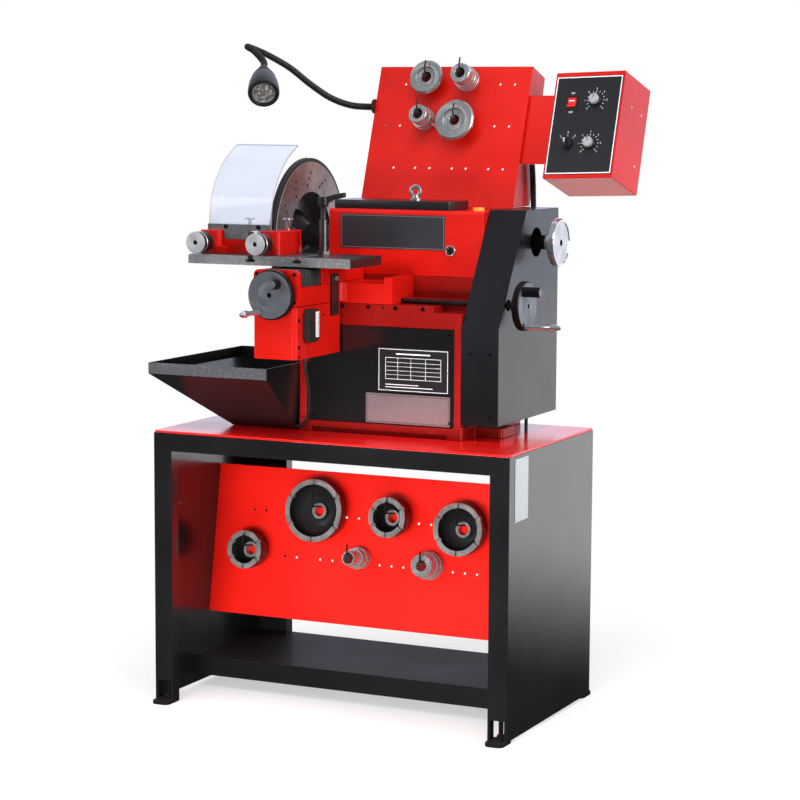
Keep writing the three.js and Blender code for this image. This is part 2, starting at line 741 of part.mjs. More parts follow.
// Motor inside the base, its pulley and the belt
const motorRadius = 78;
const motorInset = 130; // from the base's left side
const motorRoom = 61; // from the motor's end to the base's right side
const motorFrom = baseLeft + motorInset;
const motorTo = baseRight - motorRoom;
const motorFootWidth = 150;
const motorFootDepth = 130;
const motorPulley = 42;
const motorPulleyGroove = 30;
const motorShaftIn = 60;
const beltThickness = 8;
const beltGap = 1.2;
const beltSteps = 10;
{
  const footBottom = baseBottom + underFloor + gap;
  const middle = (motorFrom + motorTo) / 2;
  const motor = cut(
    join(
      rod("x", [motorFrom, motorTo], [motorY, motorZ], motorRadius, smallSides),
      block([middle - motorFootWidth / 2, middle + motorFootWidth / 2],
        [motorY - motorFootDepth / 2, motorY + motorFootDepth / 2], [footBottom, motorZ]),
    ),
    drill("x", [motorTo - motorShaftIn - bite, motorTo + overrun], [motorY, motorZ],
      motorShaftRadius + gap, pinSides),
  );
  add("motor", motor, greyPaint);
  const profile = [
    [0, motorTo - motorShaftIn], [motorShaftRadius, motorTo - motorShaftIn],
    [motorShaftRadius, pulleyX - pulleyWidth / 2], ...pulleyRim(motorPulley, motorPulleyGroove),
    [0, pulleyX + pulleyWidth / 2],
  ];
  add("motor_pulley", turned("x", profile, smallSides), steel, machine, [0, motorY, motorZ]);
  // The belt runs round both grooves: each side of it is an open arc at both ends.
  const span = Math.hypot(spindleY - motorY, spindleZ - motorZ);
  const heading = Math.atan2(spindleZ - motorZ, spindleY - motorY);
  const loop = (extra) => {
    const low = motorPulleyGroove + beltGap + extra;
    const high = spindlePulleyGroove + beltGap + extra;
    const spread = Math.acos((high - low) / span);
    const turn = Math.PI * 2;
    return [
      ...arc(spindleAt, high, heading - spread, heading + spread, beltSteps),
      ...arc([motorY, motorZ], low, heading + spread, heading + turn - spread, beltSteps),
    ];
  };
  const across = [pulleyX - beltWidth / 2, pulleyX + beltWidth / 2];
  add("drive_belt", prism("x", across, loop(beltThickness), [loop(0)]), rubber);
}

// Drive cover: a folded sheet box over the belt and the right end of the spindle
const coverClearance = 37; // from the bench top to the cover's bottom
const coverUpright = 220; // height of its front below the slope
const coverPast = 4; // above the headstock
const coverTopSetback = 35; // from the headstock's front
const coverBackReach = 10; // behind the base
const coverBottom = deck + coverClearance;
const coverBend = coverBottom + coverUpright;
const coverTop = headstockTop + coverPast;
const coverTopFront = headstockFront + coverTopSetback;
const coverBack = baseBack + coverBackReach;
const shaftHole = 34;
const leadHole = 13;
const conduitRadius = 7.5;
const conduitInset = 11; // from the base's right side
const conduitDrop = 118; // from the cover's top
const conduitX = baseRight + conduitInset;
const conduitZ = coverTop - conduitDrop;
const cableRoom = 1.5; // between a cable and the edge of its hole
{
  const outer = [
    [baseFront, coverBottom], [baseFront, coverBend], [coverTopFront, coverTop], [coverBack, coverTop],
    [coverBack, coverBottom],
  ];
  const slope = Math.atan2(coverTop - coverBend, coverTopFront - baseFront);
  const inner = [
    [baseFront + sheet, coverBottom + sheet],
    [baseFront + sheet, coverBend - sheet * Math.tan(Math.PI / 4 - slope / 2)],
    [coverTopFront + sheet * Math.tan(slope / 2), coverTop - sheet],
    [coverBack - sheet, coverTop - sheet], [coverBack - sheet, coverBottom + sheet],
  ];
  const shell = cut(
    prism("x", [baseRight + gap, coverRight], outer),
    prism("x", [baseRight - overrun, coverRight - sheet], inner),
    rod("x", [coverRight - overrun, coverRight + overrun], spindleAt, shaftHole, bodySides),
    rod("x", [coverRight - overrun, coverRight + overrun], [screwY, screwZ], leadHole, pinSides),
    rod("y", [coverBack - overrun / 2, coverBack + overrun], [conduitX, conduitZ],
      conduitRadius + cableRoom, pinSides),
    rod("z", [coverBottom - overrun, coverBottom + overrun / 2], [supplyX, supplyY],
      supplyRadius + cableRoom, pinSides),
  );
  add("drive_cover", shell, black);
}

// Chip tray: a hopper with a sloping front and left side, on the bench top beside the base
const traySheet = 2;
const trayLength = 312.7; // along the spindle, at the rim
const trayDepth = 447; // across it
const trayHeight = 158;
const trayLip = 26;
const trayFloorLength = 171;
const trayFloorInset = 8.7; // from the tray's right side
const trayFloorDepth = 282;
const trayPast = 287; // from the base's front to the tray's back
const trayRight = baseLeft - bite - gap;
const trayLeft = trayRight - trayLength;
const trayBack = baseFront + trayPast;
const trayFront = trayBack - trayDepth;
const trayRim = deck + trayHeight;
const trayFloorRight = trayRight - trayFloorInset;
const trayFloorLeft = trayFloorRight - trayFloorLength;
const trayFloorFront = trayBack - trayFloorDepth;
{
  const bend = trayRim - trayLip;
  const floor = deck + gap;
  const shape = (inset, low, high) => {
    const within = (from, to) => [from + inset, to - inset];
    const mouth = [within(trayLeft, trayRight), within(trayFront, trayBack)];
    const foot = [within(trayFloorLeft, trayFloorRight), within(trayFloorFront, trayBack)];
    return join(
      hull([
        ...corners(...mouth, [bend, bend + bite]), ...corners(...foot, [floor + low, floor + low + bite]),
      ]),
      block(...mouth, [bend, high]),
    );
  };
  add("chip_tray", cut(shape(0, 0, trayRim), shape(traySheet, traySheet, trayRim + overrun)), black);
}

// Upper tool board: a folded sheet box that leans back behind the headstock
const upperLean = (19.2 * Math.PI) / 180;
const upperSetback = 20; // in front of the headstock's back
const upperPast = 4; // above the headstock
const upperOverhang = 2.5; // past the headstock's left end
const upperFront = headstockBack - upperSetback;
const upperFoot = headstockTop + upperPast;
const upperLeft = headstockLeft - upperOverhang;
const upperLength = 350;
const upperFoldTop = 82;
const upperFoldBottom = 98;
const bracketReach = 73;
const bracketFrom = 111;
const bracketTo = 281;
const bracketBack = 10;
const boxOut = 22; // from the board's face to the control box's front left edge
const boxTurn = (6 * Math.PI) / 180;
const upperBoard = leaning([0, upperFront, upperFoot], upperLean);
const upperHooks = {
  cone_high: { at: [450, 313], radius: 42.5, length: 35, rise: 26, cone: true },
  collar_high: { at: [550, 314], radius: 25, back: 29, length: 58, rise: 24 },
  collar_low: { at: [452, 213], radius: 23, back: 27, length: 52, rise: 24 },
  cone_low: { at: [541, 205], radius: 50, length: 35, rise: 26, cone: true },
};
{
  const sides = [[upperLeft, upperLeft + sheet], [baseRight - sheet, baseRight]];
  const shells = [block([upperLeft, baseRight], [0, upperLength], [-sheet, 0])];
  const drop = Math.tan(upperLean) * upperFoldBottom;
  const flange = [[0, 0], [upperLength, 0], [upperLength, -upperFoldTop], [drop, -upperFoldBottom]];
  for (const side of sides) {
    shells.push(prism("x", side, flange));
  }
  shells.push(block([upperLeft, baseRight], [upperLength - sheet, upperLength], [-upperFoldTop, 0]));
  const bracketEnd = baseRight + bracketReach + (boxOut + bracketBack) * Math.tan(boxTurn);
  shells.push(block([baseRight - bite - sheet, bracketEnd], [bracketFrom, bracketTo],
    [-bracketBack - sheet, -bracketBack]));
  const footing = (upperFoot - headstockTop - gap) / Math.cos(upperLean) - sheet * Math.tan(upperLean);
  shells.push(block([upperLeft, baseRight], [-footing, bite], [-sheet, 0]));
  for (const { at, length, rise } of Object.values(upperHooks)) {
    shells.push(hook(at, length + hookPast, rise));
  }
  add("tool_board", join(...shells), red, upperBoard);
}
for (const [name, { at, radius, back, length, cone: conical }] of Object.entries(upperHooks)) {
  add(name, conical ? cone(radius, length) : collar(radius, back, length), steel, upperBoard, [...at, gap]);
}

// Control box on the bracket, turned a little towards the operator
const boxWidth = 180;
const boxHeight = 260;
const boxDepth = 140;
const boxCorner = 5;
const boxRise = 65; // from the board's foot to the box's lower edge
const boxAt = [baseRight + bracketReach + gap, boxRise, boxOut];
const controlBox = new THREE.Group();
controlBox.position.set(...boxAt);
controlBox.rotation.y = -boxTurn;
upperBoard.add(controlBox);
const rockerAt = [51, 185];
const speedAt = [112, 189];
const selectorAt = [52, 84];
const rateAt = [111, 84];
const rockerSize = [22, 26];
const rockerDepth = 14;
const knobRadius = 13;
const knobHeight = 17;
const knobSkirt = 16;
const knobSkirtHeight = 4;
const stemRadius = 3;
const stemLength = 12;
const stemSides = 8;
const pointerWidth = 2;
const knobTaper = 2;
const leverRadius = 4;
const leverLength = 22;
const selectorHeight = 8;
{
  let box = prism("z", [-boxDepth, 0], rounded([0, boxWidth], [0, boxHeight], boxCorner));
  const [rw, rh] = rockerSize;
  const [halfWide, halfHigh] = [rw / 2 + gap * 2, rh / 2 + gap * 2];
  box = cut(box, block([rockerAt[0] - halfWide, rockerAt[0] + halfWide],
    [rockerAt[1] - halfHigh, rockerAt[1] + halfHigh], [-rockerDepth, overrun]));
  for (const at of [speedAt, rateAt, selectorAt]) {
    box = box.subtract(drill("z", [-stemLength - gap, overrun], at, stemRadius + gap, stemSides));
  }
  add("control_box", box, red, controlBox);
}
const rockerGap = 6;
const rockerInset = 1.5;
const rockerLow = 3;
const rockerHollow = 1;
const rockerHigh = 6;
{
  const [rw, rh] = rockerSize;
  const half = rh / 2 - rockerInset;
  const outline = [
    [-half, -rockerDepth + rockerGap], [half, -rockerDepth + rockerGap],
    [half, rockerLow], [0, rockerHollow], [-half, rockerHigh],
  ];
  const rocker = prism("x", [-rw / 2 + gap, rw / 2 - gap], outline);
  add("rocker_switch", rocker, red, controlBox, [...rockerAt, 0]);
}
function knob() {
  const stemBottom = -stemLength;
  const profile = [
    [0, stemBottom], [stemRadius, stemBottom], [stemRadius, gap], [knobSkirt, gap],
    [knobSkirt, knobSkirtHeight], [knobRadius, knobSkirtHeight + bite], [knobRadius - knobTaper, knobHeight],
    [0, knobHeight],
  ];
  const pointer = block([-pointerWidth / 2, pointerWidth / 2], [knobRadius / 2, knobSkirt + bite],
    [gap, knobHeight / 2]);
  return join(turned("z", profile, smallSides), pointer);
}
add("speed_knob", knob(), black, controlBox, [...speedAt, 0]);
add("rate_knob", knob(), black, controlBox, [...rateAt, 0]);
{
  const base = turned("z", [
    [0, -stemLength], [stemRadius, -stemLength], [stemRadius, gap], [knobRadius, gap],
    [knobRadius, selectorHeight], [0, selectorHeight],
  ], smallSides);
  const grip = block([-leverRadius, leverRadius], [-leverLength / 2, leverLength / 2],
    [knobSkirtHeight, knobHeight]);
  add("direction_selector", join(base, grip), black, controlBox, [...selectorAt, 0]);
}

// Supply cable: up from the bench top into the drive cover, and out of its back as a conduit to the bracket
// Each cord's route is a list of places measured from its start
const supplyRoute = [
  [0, 0, 0], [0, 0, 29.7], [0, 0, 50.7], [-12, 35, 104.7], [-60, 125, 239.7], [-68, 141, 344.7],
  [-68, 146, 399.7],
];
const conduitRoute = [
  [0, 0, 0], [0, 26, 0], [0, 44, 16], [0, 55, 50], [0, 55, 110], [0, 51, 170], [0, 44, 216],
];
const conduitInside = 14; // how far the conduit reaches into the drive cover
const cordSides = 8;
const supplySteps = 18;
const conduitSides = 10;
const conduitSteps = 14;
function routeFrom([x, y, z], route) {
  return route.map(([dx, dy, dz]) => [x + dx, y + dy, z + dz]);
}
{
  const cable = tube(routeFrom([supplyX, supplyY, deck + gap], supplyRoute),
    supplyRadius, cordSides, supplySteps);
  const conduit = tube(routeFrom([conduitX, coverBack - conduitInside, conduitZ], conduitRoute),
    conduitRadius, conduitSides, conduitSteps);
  add("supply_cable", join(cable, conduit), rubber);
}

// Lamp: a gooseneck from the left side of the upper board, with a bell-shaped head
const neckRadius = 8.5;
const neckFlange = 18;
const neckFlangeThickness = 5;
const neckSetback = 81; // from the board's foot to the gooseneck's flange
const neckRise = 234;
const neckSteps = 30;
const neckStart = [upperLeft - gap, upperFront + neckSetback, upperFoot + neckRise];
const neckRoute = [
  [-neckFlangeThickness / 2, 0, 0], [-21.2, 0, -1], [-68.2, -2, 3], [-121.2, -5, 21], [-175.2, -8, 54],
  [-228.2, -13, 93], [-279.2, -23, 122], [-306.2, -37, 136], [-319.2, -57, 143], [-309.2, -80, 143],
  [-281.2, -98, 132],
];
const headReach = [-228.2, -150, 89]; // from the flange to the back of the lamp's head
const [headAt] = routeFrom(neckStart, [headReach]);
const headDirection = new THREE.Vector3(0.402, -0.736, -0.545).normalize();
const headLength = 112;
const headRim = 38;
const headBack = 12;
const headShoulder = 30;
const headShoulderAt = 48;
const headBand = 22;
const lensRadius = 25;
const lensRecess = 8;
const headWall = 3;
const neckStraight = 32; // straight length of the neck behind the head
function behindHead(distance) {
  return headAt.map((value, i) => value - headDirection.getComponent(i) * distance);
}
{
  const [x, y, z] = neckStart;
  const points = [...routeFrom(neckStart, neckRoute), behindHead(neckStraight), behindHead(0)];
  const neck = tube(points, neckRadius, cordSides, neckSteps);
  const flange = rod("x", [x - neckFlangeThickness, x], [y, z], neckFlange, pinSides);
  add("lamp_arm", join(neck, flange), black);
  const profile = [
    [0, gap], [headBack, gap], [headBack + headWall, headBack], [headShoulder, headShoulderAt],
    [headRim, headLength - headBand], [headRim, headLength], [lensRadius + headWall, headLength],
    [lensRadius, headLength - lensRecess], [0, headLength - lensRecess],
  ];
  const head = add("lamp_head", turned("z", profile, bodySides), black, machine, headAt);
  head.quaternion.setFromUnitVectors(new THREE.Vector3(0, 0, 1), headDirection);
}

// Saddle: an arm on the ways and a leg that reaches forward over the tray, with its end plate
const legInset = 3; // from the base's left side
const legWidth = 105;
const legReach = 210; // in front of the base
const legRise = 5; // from the ways to the leg's underside
const legHeight = 42;
const armDepth = 118;
const armReach = 112; // past the leg's right side
const nutBlockLength = 21;
const nutBlockOverlap = 3; // with the arm
const nutBlockRise = 14; // above the leg's top
const legLeft = baseLeft + legInset;
const legRight = legLeft + legWidth;
const legFront = baseFront - legReach;
const legBottom = ways + legRise;
const legTop = legBottom + legHeight;
const armBack = baseFront + armDepth;
const armRight = legRight + armReach;
const nutBlock = [armRight - nutBlockOverlap, armRight - nutBlockOverlap + nutBlockLength];
const nutBlockTop = legTop + nutBlockRise;
const legFillet = 22;
const filletSteps = 4;
const crossInset = 54; // from the leg's left side to the cross screw
const crossDrop = 15; // from the leg's top
const crossX = legLeft + crossInset;
const crossZ = legTop - crossDrop;
const crossScrewRadius = 7;
const crossChannel = 12;
const channelDepth = 28;
const channelWall = 24; // left of the lead screw's channel
const plateThickness = 15;
const plateSide = 1; // past the leg's left side
const plateWidth = 112;
const plateRise = 40; // above the leg's top
const plateFront = legFront - plateThickness;
const plateLeft = legLeft - plateSide;
const plateTop = legTop + plateRise;
const plateCorner = 12;
const dovetail = 28;
const dovetailFlare = 4;
const dovetailHeight = 9;
{
  const armOutline = [
    [legLeft, baseFront - bite], [armRight, baseFront - bite], [armRight, armBack], [legLeft, armBack],
  ];
  const legOutline = [
    [legLeft, legFront - bite], [legRight, legFront - bite], [legRight, baseFront - legFillet],
    ...arc([legRight + legFillet, baseFront - legFillet], legFillet, Math.PI, Math.PI / 2, filletSteps),
    [legRight + legFillet, baseFront + bite], [legLeft, baseFront + bite],
  ];
  let saddle = join(
    prism("z", [ways + gap, legTop], armOutline),
    prism("z", [legBottom, legTop], legOutline),
    block(nutBlock, [baseFront, armBack - bite], [ways + gap, nutBlockTop]),
    prism("y", [plateFront, legFront],
      rounded([plateLeft, plateLeft + plateWidth], [legBottom - bite, plateTop], plateCorner)),
    prism("y", [legFront - bite, armBack], [
      [crossX - dovetail, legTop - bite], [crossX - dovetail, legTop],
      [crossX - dovetail - dovetailFlare, legTop + dovetailHeight],
      [crossX + dovetail + dovetailFlare, legTop + dovetailHeight],
      [crossX + dovetail, legTop], [crossX + dovetail, legTop - bite],
    ]),
  );
  saddle = cut(
    saddle,
    // the dovetail of the ways
    prism("x", [legLeft - overrun, nutBlock[1] + overrun], [
      [railFoot[0] - gap, ways - bite], [railFoot[0] - gap, ways],
      [railFoot[0] - railFlare - gap * 2, ways + railHeight + gap],
      [railFoot[1] + railFlare + gap * 2, ways + railHeight + gap],
      [railFoot[1] + gap, ways], [railFoot[1] + gap, ways - bite],
    ]),
    // the channel of the lead screw, open below, and its nut
    block([legLeft + channelWall, nutBlock[0] - bite],
      [screwY - troughWidth / 2, screwY + troughWidth / 2], [ways - overrun, screwZ + troughRadius]),
    rod("x", [nutBlock[0] - overrun, nutBlock[1] + overrun], [screwY, screwZ],
      screwRadius + gap * 2, pinSides),
    // the channel of the cross screw, open above
    block([crossX - crossChannel, crossX + crossChannel], [legFront + baseWall, armBack - baseWall],
      [legTop - channelDepth, legTop + overrun]),
    rod("y", [plateFront - overrun, legFront + baseWall + overrun], [crossX, crossZ],
      crossScrewRadius + gap * 2, pinSides),
  );
  add("saddle", saddle, red);
}

// Feed box below the leg, with the limit switch on its right side
const boxTop = legBottom - bite - gap;
const feedBoxHeight = 117.7;
const feedBoxRoom = 5; // from the box's back to the base's front
const boxBottom = boxTop - feedBoxHeight;
const boxBack = baseFront - feedBoxRoom;
const boxChamfer = 9;
const switchReach = 16;
const switchSetback = 18; // from the leg's front
const switchWidth = 54;
const switchRise = 37; // from the feed box's underside
const switchHeight = 75;
const switchDrop = 20; // from the switch's top to its plunger
const switchCut = 10;
const plungerRadius = 4;
const plungerLength = 5;
const glandRadius = 9;
const glandHeight = 8;
const glandInset = 16; // from the leg's right side
const glandSetback = 62; // from the leg's front
const feedCableX = legRight - glandInset;
const feedCableY = legFront + glandSetback;
{
  const outline = [
    [legLeft, plateFront], [legRight - boxChamfer, plateFront], [legRight, plateFront + boxChamfer],
    [legRight, boxBack], [legLeft, boxBack],
  ];
  const [y0, y1] = [legFront + switchSetback, legFront + switchSetback + switchWidth];
  const [z0, z1] = [boxBottom + switchRise, boxBottom + switchRise + switchHeight];
  const body = prism("x", [legRight + gap, legRight + switchReach], [
    [y0, z0 + switchCut], [y0, z1 - switchCut], [y0 + switchCut, z1], [y1 - switchCut, z1],
    [y1, z1 - switchCut], [y1, z0 + switchCut], [y1 - switchCut, z0], [y0 + switchCut, z0],
  ]);
  add("limit_switch", join(
    body,
    rod("y", [y1 - bite, y1 + plungerLength], [legRight + switchReach / 2, z1 - switchDrop],
      plungerRadius, wireSides),
  ), black);
  const box = join(
    prism("z", [boxBottom, boxTop], outline),
    rod("z", [boxBottom - glandHeight, boxBottom + bite], [feedCableX, feedCableY], glandRadius, wireSides),
  );
  add("feed_box", box, red);
}

// Feed motor cable: from the gland down behind the tray's rim to the foot of the base
const feedCableRadius = 4;
const feedCableSteps = 16;
const feedRoute = [
  [0, 0, 0], [0, 0, -20], [-4, 18, -45.7], [-20, 58, -98.7], [-47, 100, -142.7], [-74, 128, -165.7],
  [-92, 136, -170.7],
];
{
  const start = [feedCableX, feedCableY, boxBottom - glandHeight - gap];
  add("feed_cable", tube(routeFrom(start, feedRoute), feedCableRadius, cordSides, feedCableSteps), rubber);
}

// Bellows in front of the cross slide, over the leg
const bellowsLength = 113;
const bellowsWidth = 103;
const bellowsRise = 39; // above the leg's top
const bellowsBack = legFront + bellowsLength;
const bellowsRight = legLeft + bellowsWidth;
const bellowsTop = legTop + bellowsRise;
const bellowsFolds = 10;
const bellowsDepth = 5;
const bellowsWall = 8;
{
  const from = legFront + gap;
  const to = bellowsBack - gap;
  const pitch = (to - from) / bellowsFolds;
  // One rib: wide in its middle and narrow at its ends, stacked along the leg.
  const section = (inset) => {
    const [left, right, top] = [legLeft + inset, bellowsRight - inset, bellowsTop - inset];
    return [
      [left, legTop + gap], [left, top - bellowsDepth], [left + bellowsDepth, top],
      [right - bellowsDepth, top], [right, top - bellowsDepth], [right, legTop + gap],
    ];
  };
  const positions = [];
  const count = section(0).length;
  const rings = bellowsFolds * 2 + 1;
  for (let i = 0; i < rings; i += 1) {
    const y = from + (pitch * i) / 2;
    for (const [x, z] of section(i % 2 ? 0 : bellowsDepth)) positions.push([x, y, z]);
  }
  const index = [];
  for (let i = 0; i + 1 < rings; i += 1) {
    for (let k = 0; k < count; k += 1) {
      const a = i * count + k;
      const b = i * count + ((k + 1) % count);
      index.push(a, b, a + count, b, b + count, a + count);
    }
  }
  for (let k = 1; k + 1 < count; k += 1) {
    index.push(0, k + 1, k);
    const last = (rings - 1) * count;
    index.push(last, last + k, last + k + 1);
  }
  const geometry = new THREE.BufferGeometry();
  geometry.setAttribute("position", new THREE.Float32BufferAttribute(positions.flat(), 3));
  geometry.setIndex(index);
  const bellows = cut(solid(geometry), block(
    [crossX - dovetail - dovetailFlare - bellowsWall, crossX + dovetail + dovetailFlare + bellowsWall],
    [from - overrun, to + overrun], [legTop - overrun, bellowsTop - bellowsDepth - bellowsWall]));
  add("bellows", bellows, rubber);
}

// Lead screw with its handwheel, and the handle that revolves on the wheel
const leadWheelInset = 29; // from the drive cover's right side
const leadOverlap = 8; // how far the screw reaches past the saddle's arm
const leadStart = armRight - leadOverlap;
const leadWheelX = coverRight + leadWheelInset;
const leadWheelThickness = 18;
const leadHub = 20;
const wheelRim = 12;
const wheelDish = 6;
const crankRadius = 11.5;
const crankLength = 26;
const handleRadius = 6;
const handleLength = 90;
const handleGrip = 8.5;
const gripEndShare = 0.85;
const gripTaperShare = 0.97;
const wheelBackEdge = 3;
const wheelEdge = 4; // chamfer of the rim
const hubFlare = 32; // where the dished face starts to rise to the hub
const hubProud = 2;
function handwheel(axis, [back, front], shaft, shaftEnd, hubEnd) {
  const out = Math.sign(front - back);
  const profile = [
    [0, shaftEnd], [shaft, shaftEnd], [shaft, hubEnd], [leadHub, hubEnd],
    [leadHub, back + out * wheelDish], [handwheelRadius - wheelRim, back + out * wheelDish],
    [handwheelRadius - wheelRim, back], [handwheelRadius - wheelBackEdge, back],
    [handwheelRadius, back + out * wheelEdge], [handwheelRadius, front - out * wheelEdge],
    [handwheelRadius - wheelEdge, front], [handwheelRadius - wheelRim, front],
    [hubFlare, front - out * wheelDish / 2], [leadHub, front + out * hubProud], [0, front + out * hubProud],
  ];
  return turned(axis, profile, wheelSides);
}
// A handle that is thin at its root and thick at its end, for a wheel's crank pin.
function crankHandle(axis, out) {
  const profile = [
    [0, 0], [handleRadius, 0], [handleRadius, handleLength / 4], [handleGrip, handleLength / 2],
    [handleGrip, handleLength * gripEndShare], [handleRadius, handleLength * gripTaperShare],
    [handleRadius / 2, handleLength], [0, handleLength],
  ].map(([r, h]) => [r, out * h]);
  return turned(axis, profile, pinSides);
}
const leadCrankAt = [-27, 34];
const leadHandleAt = [-22, -44];
{
  const front = leadWheelX + leadWheelThickness;
  const wheel = join(
    handwheel("x", [leadWheelX, front], screwRadius, leadStart, coverRight + gap),
    rod("x", [front - wheelDish, front + crankLength], leadCrankAt, crankRadius, pinSides),
  );
  add("lead_screw", wheel, black, machine, [0, screwY, screwZ]);
  add("feed_handle", crankHandle("x", 1), steel, machine,
    [front + gap, screwY + leadHandleAt[0], screwZ + leadHandleAt[1]]);
}

// Cross screw with its handwheel, and its revolving handle
const crossWheelReach = 27; // from the end plate to the wheel's front
const crossWheelThickness = 18;
const crossScrewPast = 137; // from the bellows' back to the screw's end
const crossWheelFront = plateFront - crossWheelReach;
const crossScrewEnd = bellowsBack + crossScrewPast;
const crossCrankAt = [17, 25];
const crossHandleAt = [-25, -38];
{
  const back = crossWheelFront + crossWheelThickness;
  const wheel = join(
    handwheel("y", [back, crossWheelFront], crossScrewRadius, crossScrewEnd, plateFront - gap),
    rod("y", [crossWheelFront - crankLength, crossWheelFront + wheelDish], crossCrankAt,
      crankRadius, pinSides),
  );
  add("cross_screw", wheel, black, machine, [crossX, 0, crossZ]);
  add("cross_handle", crankHandle("y", -1), steel, machine,
    [crossX + crossHandleAt[0], crossWheelFront - gap, crossZ + crossHandleAt[1]]);
}

// Cross slide with its dovetail and its nut
const slideLength = 216;
const slideHeight = 42;
const slideChamfer = 4;
const nutSetback = 87; // from the slide's front
const nutLength = 36;
const nutHalf = 10;
const nutDrop = 25; // from the leg's top
const nutRoot = 2; // how deep the nut runs into the slide
const slideBack = bellowsBack + slideLength;
const slideTop = legTop + slideHeight;
{
  const nutY = [bellowsBack + nutSetback, bellowsBack + nutSetback + nutLength];
  const flank = gap * 2;
  let slide = prism("y", [bellowsBack, slideBack], [
    [legLeft, legTop + gap], [legLeft, slideTop - slideChamfer], [legLeft + slideChamfer, slideTop],
    [legRight - slideChamfer, slideTop], [legRight, slideTop - slideChamfer], [legRight, legTop + gap],
  ]);
  slide = cut(slide, prism("y", [bellowsBack - overrun, slideBack + overrun], [
    [crossX - dovetail - flank, legTop - bite], [crossX - dovetail - flank, legTop],
    [crossX - dovetail - dovetailFlare - flank, legTop + dovetailHeight + gap],
    [crossX + dovetail + dovetailFlare + flank, legTop + dovetailHeight + gap],
    [crossX + dovetail + flank, legTop], [crossX + dovetail + flank, legTop - bite],
  ]));
  slide = cut(
    slide.add(block([crossX - nutHalf, crossX + nutHalf], nutY,
      [legTop - nutDrop, legTop + dovetailHeight + nutRoot])),
    rod("y", [nutY[0] - overrun, nutY[1] + overrun], [crossX, crossZ],
      crossScrewRadius + gap * 2, pinSides),
  );
  add("cross_slide", slide, red);
}

// Trip bar on the right side of the cross slide
const tripSetback = 41; // from the slide's front
const tripWidth = 33;
const tripThickness = 6;
const tripLength = 95;
const tripRise = 22; // above the leg's top
const tripScrewRadius = 5;
const tripScrewReach = 5;
const tripScrewDrop = 10;
{
  const from = legRight + gap;
  const [front, back] = [bellowsBack + tripSetback, bellowsBack + tripSetback + tripWidth];
  const top = legTop + tripRise;
  add("trip_bar", join(
    block([from, from + tripThickness], [front, back], [top - tripLength, top]),
    rod("x", [from + tripThickness - bite, from + tripThickness + tripScrewReach],
      [(front + back) / 2, top - tripScrewDrop], tripScrewRadius, wireSides),
  ), black);
}

// Tool plate with two T slots, and the clamp post that stands in the right one
const toolPlateReach = 266; // left of the cross screw
const toolPlateLength = 416;
const toolPlateFront = 55; // in front of the slide
const toolPlateDepth = 159;
const toolPlateThickness = 22;
const slotInsets = [162, 281]; // from the plate's left end
const toolPlateX = [crossX - toolPlateReach, crossX - toolPlateReach + toolPlateLength];
const toolPlateY = [bellowsBack - toolPlateFront, bellowsBack - toolPlateFront + toolPlateDepth];
const toolPlateTop = slideTop + toolPlateThickness;
const slotX = slotInsets.map((inset) => toolPlateX[0] + inset);
const slotThroat = 13;
const slotHead = 23;
const slotDepth = 14;
const slotHeadTop = 8;
const plateEdge = 3;
const postRadius = 9.5;
const postHeight = 79;
const postSetback = 132; // from the plate's front
const postTop = toolPlateTop + postHeight;
const postAt = [slotX[1], toolPlateY[0] + postSetback];
const postFoot = 15;
const postFootHeight = 7;
const threadRadius = 6.3;
const threadDepth = 22;
{
  const slotHalf = slotHead / 2;
  const plateBottom = slideTop + gap;
  const [x0, x1] = toolPlateX;
  let plate = prism("y", toolPlateY, [
    [x0, plateBottom], [x0, toolPlateTop - plateEdge], [x0 + plateEdge, toolPlateTop],
    [x1 - plateEdge, toolPlateTop], [x1, toolPlateTop - plateEdge], [x1, plateBottom],
  ]);
  for (const x of slotX) {
    plate = cut(plate,
      block([x - slotThroat / 2, x + slotThroat / 2], [toolPlateY[0] - overrun, toolPlateY[1] + overrun],
        [toolPlateTop - slotDepth, toolPlateTop + overrun]),
      block([x - slotHalf, x + slotHalf], [toolPlateY[0] - overrun, toolPlateY[1] + overrun],
        [toolPlateTop - slotDepth, toolPlateTop - slotHeadTop]));
  }
  const post = cut(
    join(
      rod("z", [toolPlateTop - slotDepth - bite, postTop], postAt, postRadius, smallSides),
      rod("z", [toolPlateTop - bite, toolPlateTop + postFootHeight], postAt, postFoot, wireSides),
    ),
    drill("z", [postTop - threadDepth, postTop + overrun], postAt, threadRadius + gap, pinSides),
  );
  add("tool_plate", join(plate, post), castBlack);
}

// Clamp lever: a threaded nut on the post with a rising lever
const leverHubRadius = 12;
const leverHubHeight = 23;
const leverLift = 30; // from the post's top to the lever's hub
const threadEnd = 1.2; // from the hole's bottom
const leverReach = 56;
const leverRise = 11;
const leverThick = 12;
const leverWide = 13;
{
  const hub = postTop + leverLift;
  const top = hub + leverHubHeight;
  const lever = join(
    rod("z", [postTop - threadDepth + threadEnd, hub + bite], [0, 0], threadRadius, pinSides),
    rod("z", [hub, top], [0, 0], leverHubRadius, smallSides),
    prism("y", [-leverWide / 2, leverWide / 2], [
      [0, hub + leverThick / 2], [leverReach, top - leverThick + leverRise], [leverReach, top + leverRise],
      [0, top],
    ]),
  );
  add("clamp_lever", lever, black, machine, [...postAt, 0]);
}

